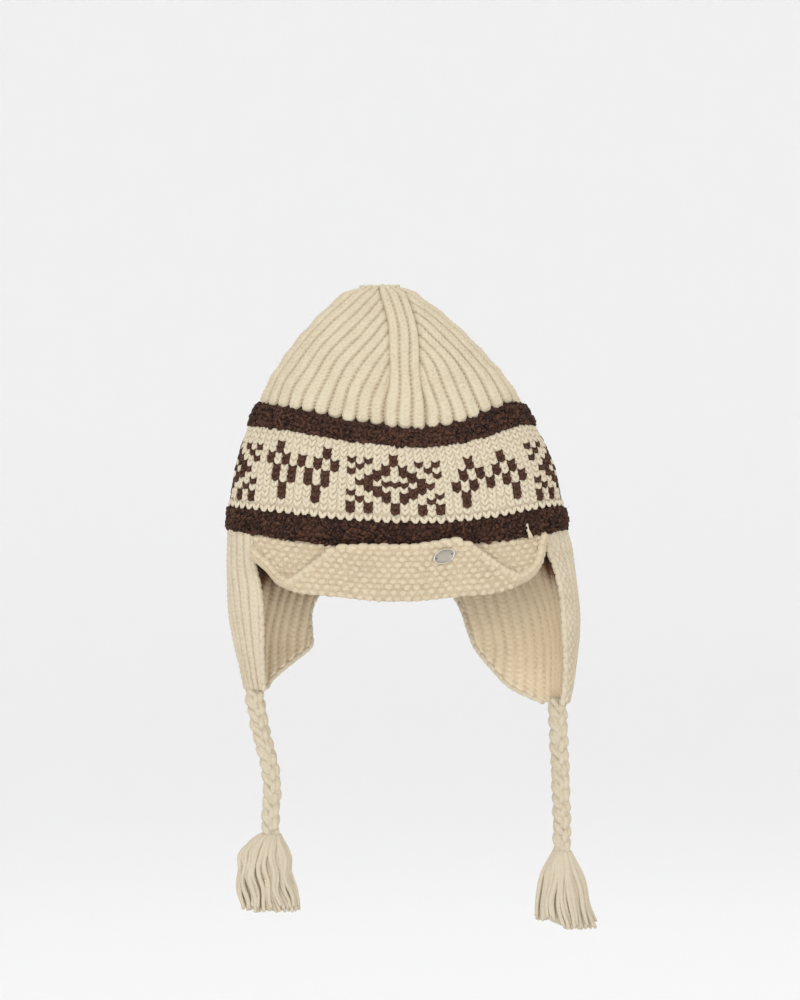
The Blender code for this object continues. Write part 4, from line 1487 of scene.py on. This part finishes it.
RIM_METAL = metal("plate_rim", (0.76, 0.74, 0.68), 0.26, 0.20)
DISH_METAL = metal("plate_dish", (0.43, 0.39, 0.335), 0.42, 0.30)
HOLE_SHADOW = wool("hole_shadow", (0.10, 0.08, 0.06), (0.03, 0.02, 0.02))
cloth, ways = peak_cloth(np.array([PLATE_ACROSS - 0.002, PLATE_ACROSS, PLATE_ACROSS + 0.002]))
front_row = BACK_ROWS + 7
right = unit(cloth[front_row, 2] - cloth[front_row, 0])
out = unit(ways[front_row, 1])
up = np.array([0.0, 0.0, 1.0])
long_way = right * math.cos(PLATE_TILT) + up * math.sin(PLATE_TILT)
short_way = up * math.cos(PLATE_TILT) - right * math.sin(PLATE_TILT)
seat = np.array([PLATE_ACROSS, cloth[front_row, 1, 1], -PLATE_DROP]) + out * (PEAK_WALL / 2 + 0.0006)
half_long = long_way * PLATE_LENGTH / 2
half_short = short_way * PLATE_WIDTH / 2
turn = np.arange(PLATE_SIDES) / PLATE_SIDES * 2 * math.pi
reach = np.outer(np.cos(turn), half_long) + np.outer(np.sin(turn), half_short)
rings = [seat + reach * ring.across + out * ring.up * PLATE_THICK for ring in PLATE]
is_dish = (np.arange(len(PLATE) - 1)[:, None] >= RIM_RINGS).astype(int)
plate_form = sheet_form(np.stack(rings), round_it=True, look=is_dish)
# Each hole is a flat dark disc: a painted shadow where the hole goes into the wool.
hole_spots = seat + np.outer([-1, 1], half_long) * HOLE_AT + out * PLATE_THICK * FLOOR_OF_DISH
hole_half = [np.tile(way, (2, 1)) for way in (long_way * 0.0007, short_way * 0.0006, out * 0.0002)]
hole_shadows = spindles(hole_spots, *hole_half, look=2)
plate_looks = [RIM_METAL, DISH_METAL, HOLE_SHADOW]
oval_plate = make_piece("plate_dish", [plate_form, hole_shadows], plate_looks)
dress(oval_plate, "oval_plate")

# %% [markdown]
# ## Loose fibres
# A halo of loose fibres is what makes knitted wool look warm. Hair particles would do it, but they
# aren't a mesh. Each fibre here is a hair-thin closed tube that leaves a stitch somewhere and bends.

# %% Fuzz
FUZZ_POINTS = 3


def fuzz(piece, count, long, finish):
    """Fibres from random points of a piece, leaning every way but mostly out, and bending."""
    mesh = piece.data
    places = np.zeros(len(mesh.vertices) * 3, np.float32)
    normals = np.zeros(len(mesh.vertices) * 3, np.float32)
    mesh.vertices.foreach_get("co", places)
    mesh.vertex_normals.foreach_get("vector", normals)
    chosen = chance.integers(0, len(mesh.vertices), count)
    root = places.reshape(-1, 3)[chosen].astype(float)
    normal = normals.reshape(-1, 3)[chosen].astype(float)
    loose = unit(chance.normal(0, 1, (count, 3)))
    start = unit(normal * 0.7 + loose)
    turn = unit(start + chance.normal(0, 0.6, (count, 3)))
    reach = chance.uniform(0.35, 1.0, (count, 1)) * long
    step = np.linspace(0, 1, FUZZ_POINTS)[None, :, None]
    routes = root[:, None] + start[:, None] * reach[:, None] * step
    routes = routes + (turn - start)[:, None] * reach[:, None] * step ** 2
    thick = np.linspace(0.00006, 0.00003, FUZZ_POINTS)
    form = tubes(routes, thick, 3, side_way=(0.3, 0.5, 0.8), tone=chance.uniform(-0.4, 0.1, count))
    made = make_piece(piece.name + "_fuzz", [form], [finish])
    return dress(made)


for piece, count, long in (
    (crown, 1900, 0.0055),
    (pattern_band, 1150, 0.0045),
    (peak, 850, 0.0045),
    (left_flap, 600, 0.0050),
    (right_flap, 600, 0.0050),
    (left_braid, 350, 0.0060),
    (right_braid, 350, 0.0060),
):
    fuzz(piece, count, long, CROWN_CREAM)
for piece in (upper_stripe, lower_stripe):
    fuzz(piece, 1000, 0.0042, BROWN)

# %% [markdown]
# ## The floor and the light
# A plain pale floor that curves up all round like a bowl, a pale sky and large soft lamps give the
# even light of a catalogue picture, with just enough from one side to round the ribs.

# %% Floor and light
SKY_LIGHT = 0.935
FLOOR_SIDES = 48
FLOOR = table("away up", [(0.0, -0.60), (2.0, -0.60), (4.2, -0.60), (5.4, -0.35), (6.0, 0.5), (6.1, 2.8)])
turn = np.arange(FLOOR_SIDES) / FLOOR_SIDES * 2 * math.pi
rows = []
for ring in FLOOR:
    rows.append(np.stack([np.cos(turn) * ring.away, np.sin(turn) * ring.away, 0 * turn + ring.up], axis=1))
floor_form = sheet_form(np.stack(rows), round_it=True)
floor_mesh = bpy.data.meshes.new("floor")
floor_mesh.from_pydata(floor_form.points.tolist(), [], floor_form.quads.tolist())
floor_mesh.shade_smooth()
floor = bpy.data.objects.new("floor", floor_mesh)
bpy.context.scene.collection.objects.link(floor)
floor_finish = Finish("pale_floor", {"Roughness": 0.9, "Base Color": (0.90, 0.90, 0.90, 1.0)})
floor_mesh.materials.append(floor_finish.material)
bend = floor.modifiers.new("curve", "SUBSURF")
bend.levels = bend.render_levels = 3

world = bpy.data.worlds.new("sky")
bpy.context.scene.world = world
world.use_nodes = True
sky = world.node_tree.nodes["Background"]
sky.inputs["Color"].default_value = (1.0, 1.0, 1.0, 1.0)
sky.inputs["Strength"].default_value = SKY_LIGHT
bpy.context.scene.view_settings.view_transform = "Standard"

LAMPS = table("name x y z size power", [
    ("key", -1.3, -2.4, 1.9, 1.3, 5.0),
    ("front", -0.2, -4.2, 0.7, 2.0, 34.0),
    ("low_left", -2.4, -3.6, 0.5, 1.6, 19.0),
    ("low_right", 2.4, -3.6, 0.6, 1.6, 15.0),
    ("back", 0.5, 2.6, 2.4, 2.5, 12.0),
])
for lamp in LAMPS:
    light = bpy.data.lights.new(lamp.name, "AREA")
    light.shape = "DISK"
    light.size = lamp.size
    light.energy = lamp.power
    holder = bpy.data.objects.new(lamp.name, light)
    holder.location = (lamp.x, lamp.y, lamp.z)
    toward = -np.array(holder.location)
    holder.rotation_euler = (
        math.atan2(math.hypot(toward[0], toward[1]), -toward[2]),
        0,
        math.atan2(toward[1], toward[0]) - math.pi / 2,
    )
    bpy.context.scene.collection.objects.link(holder)
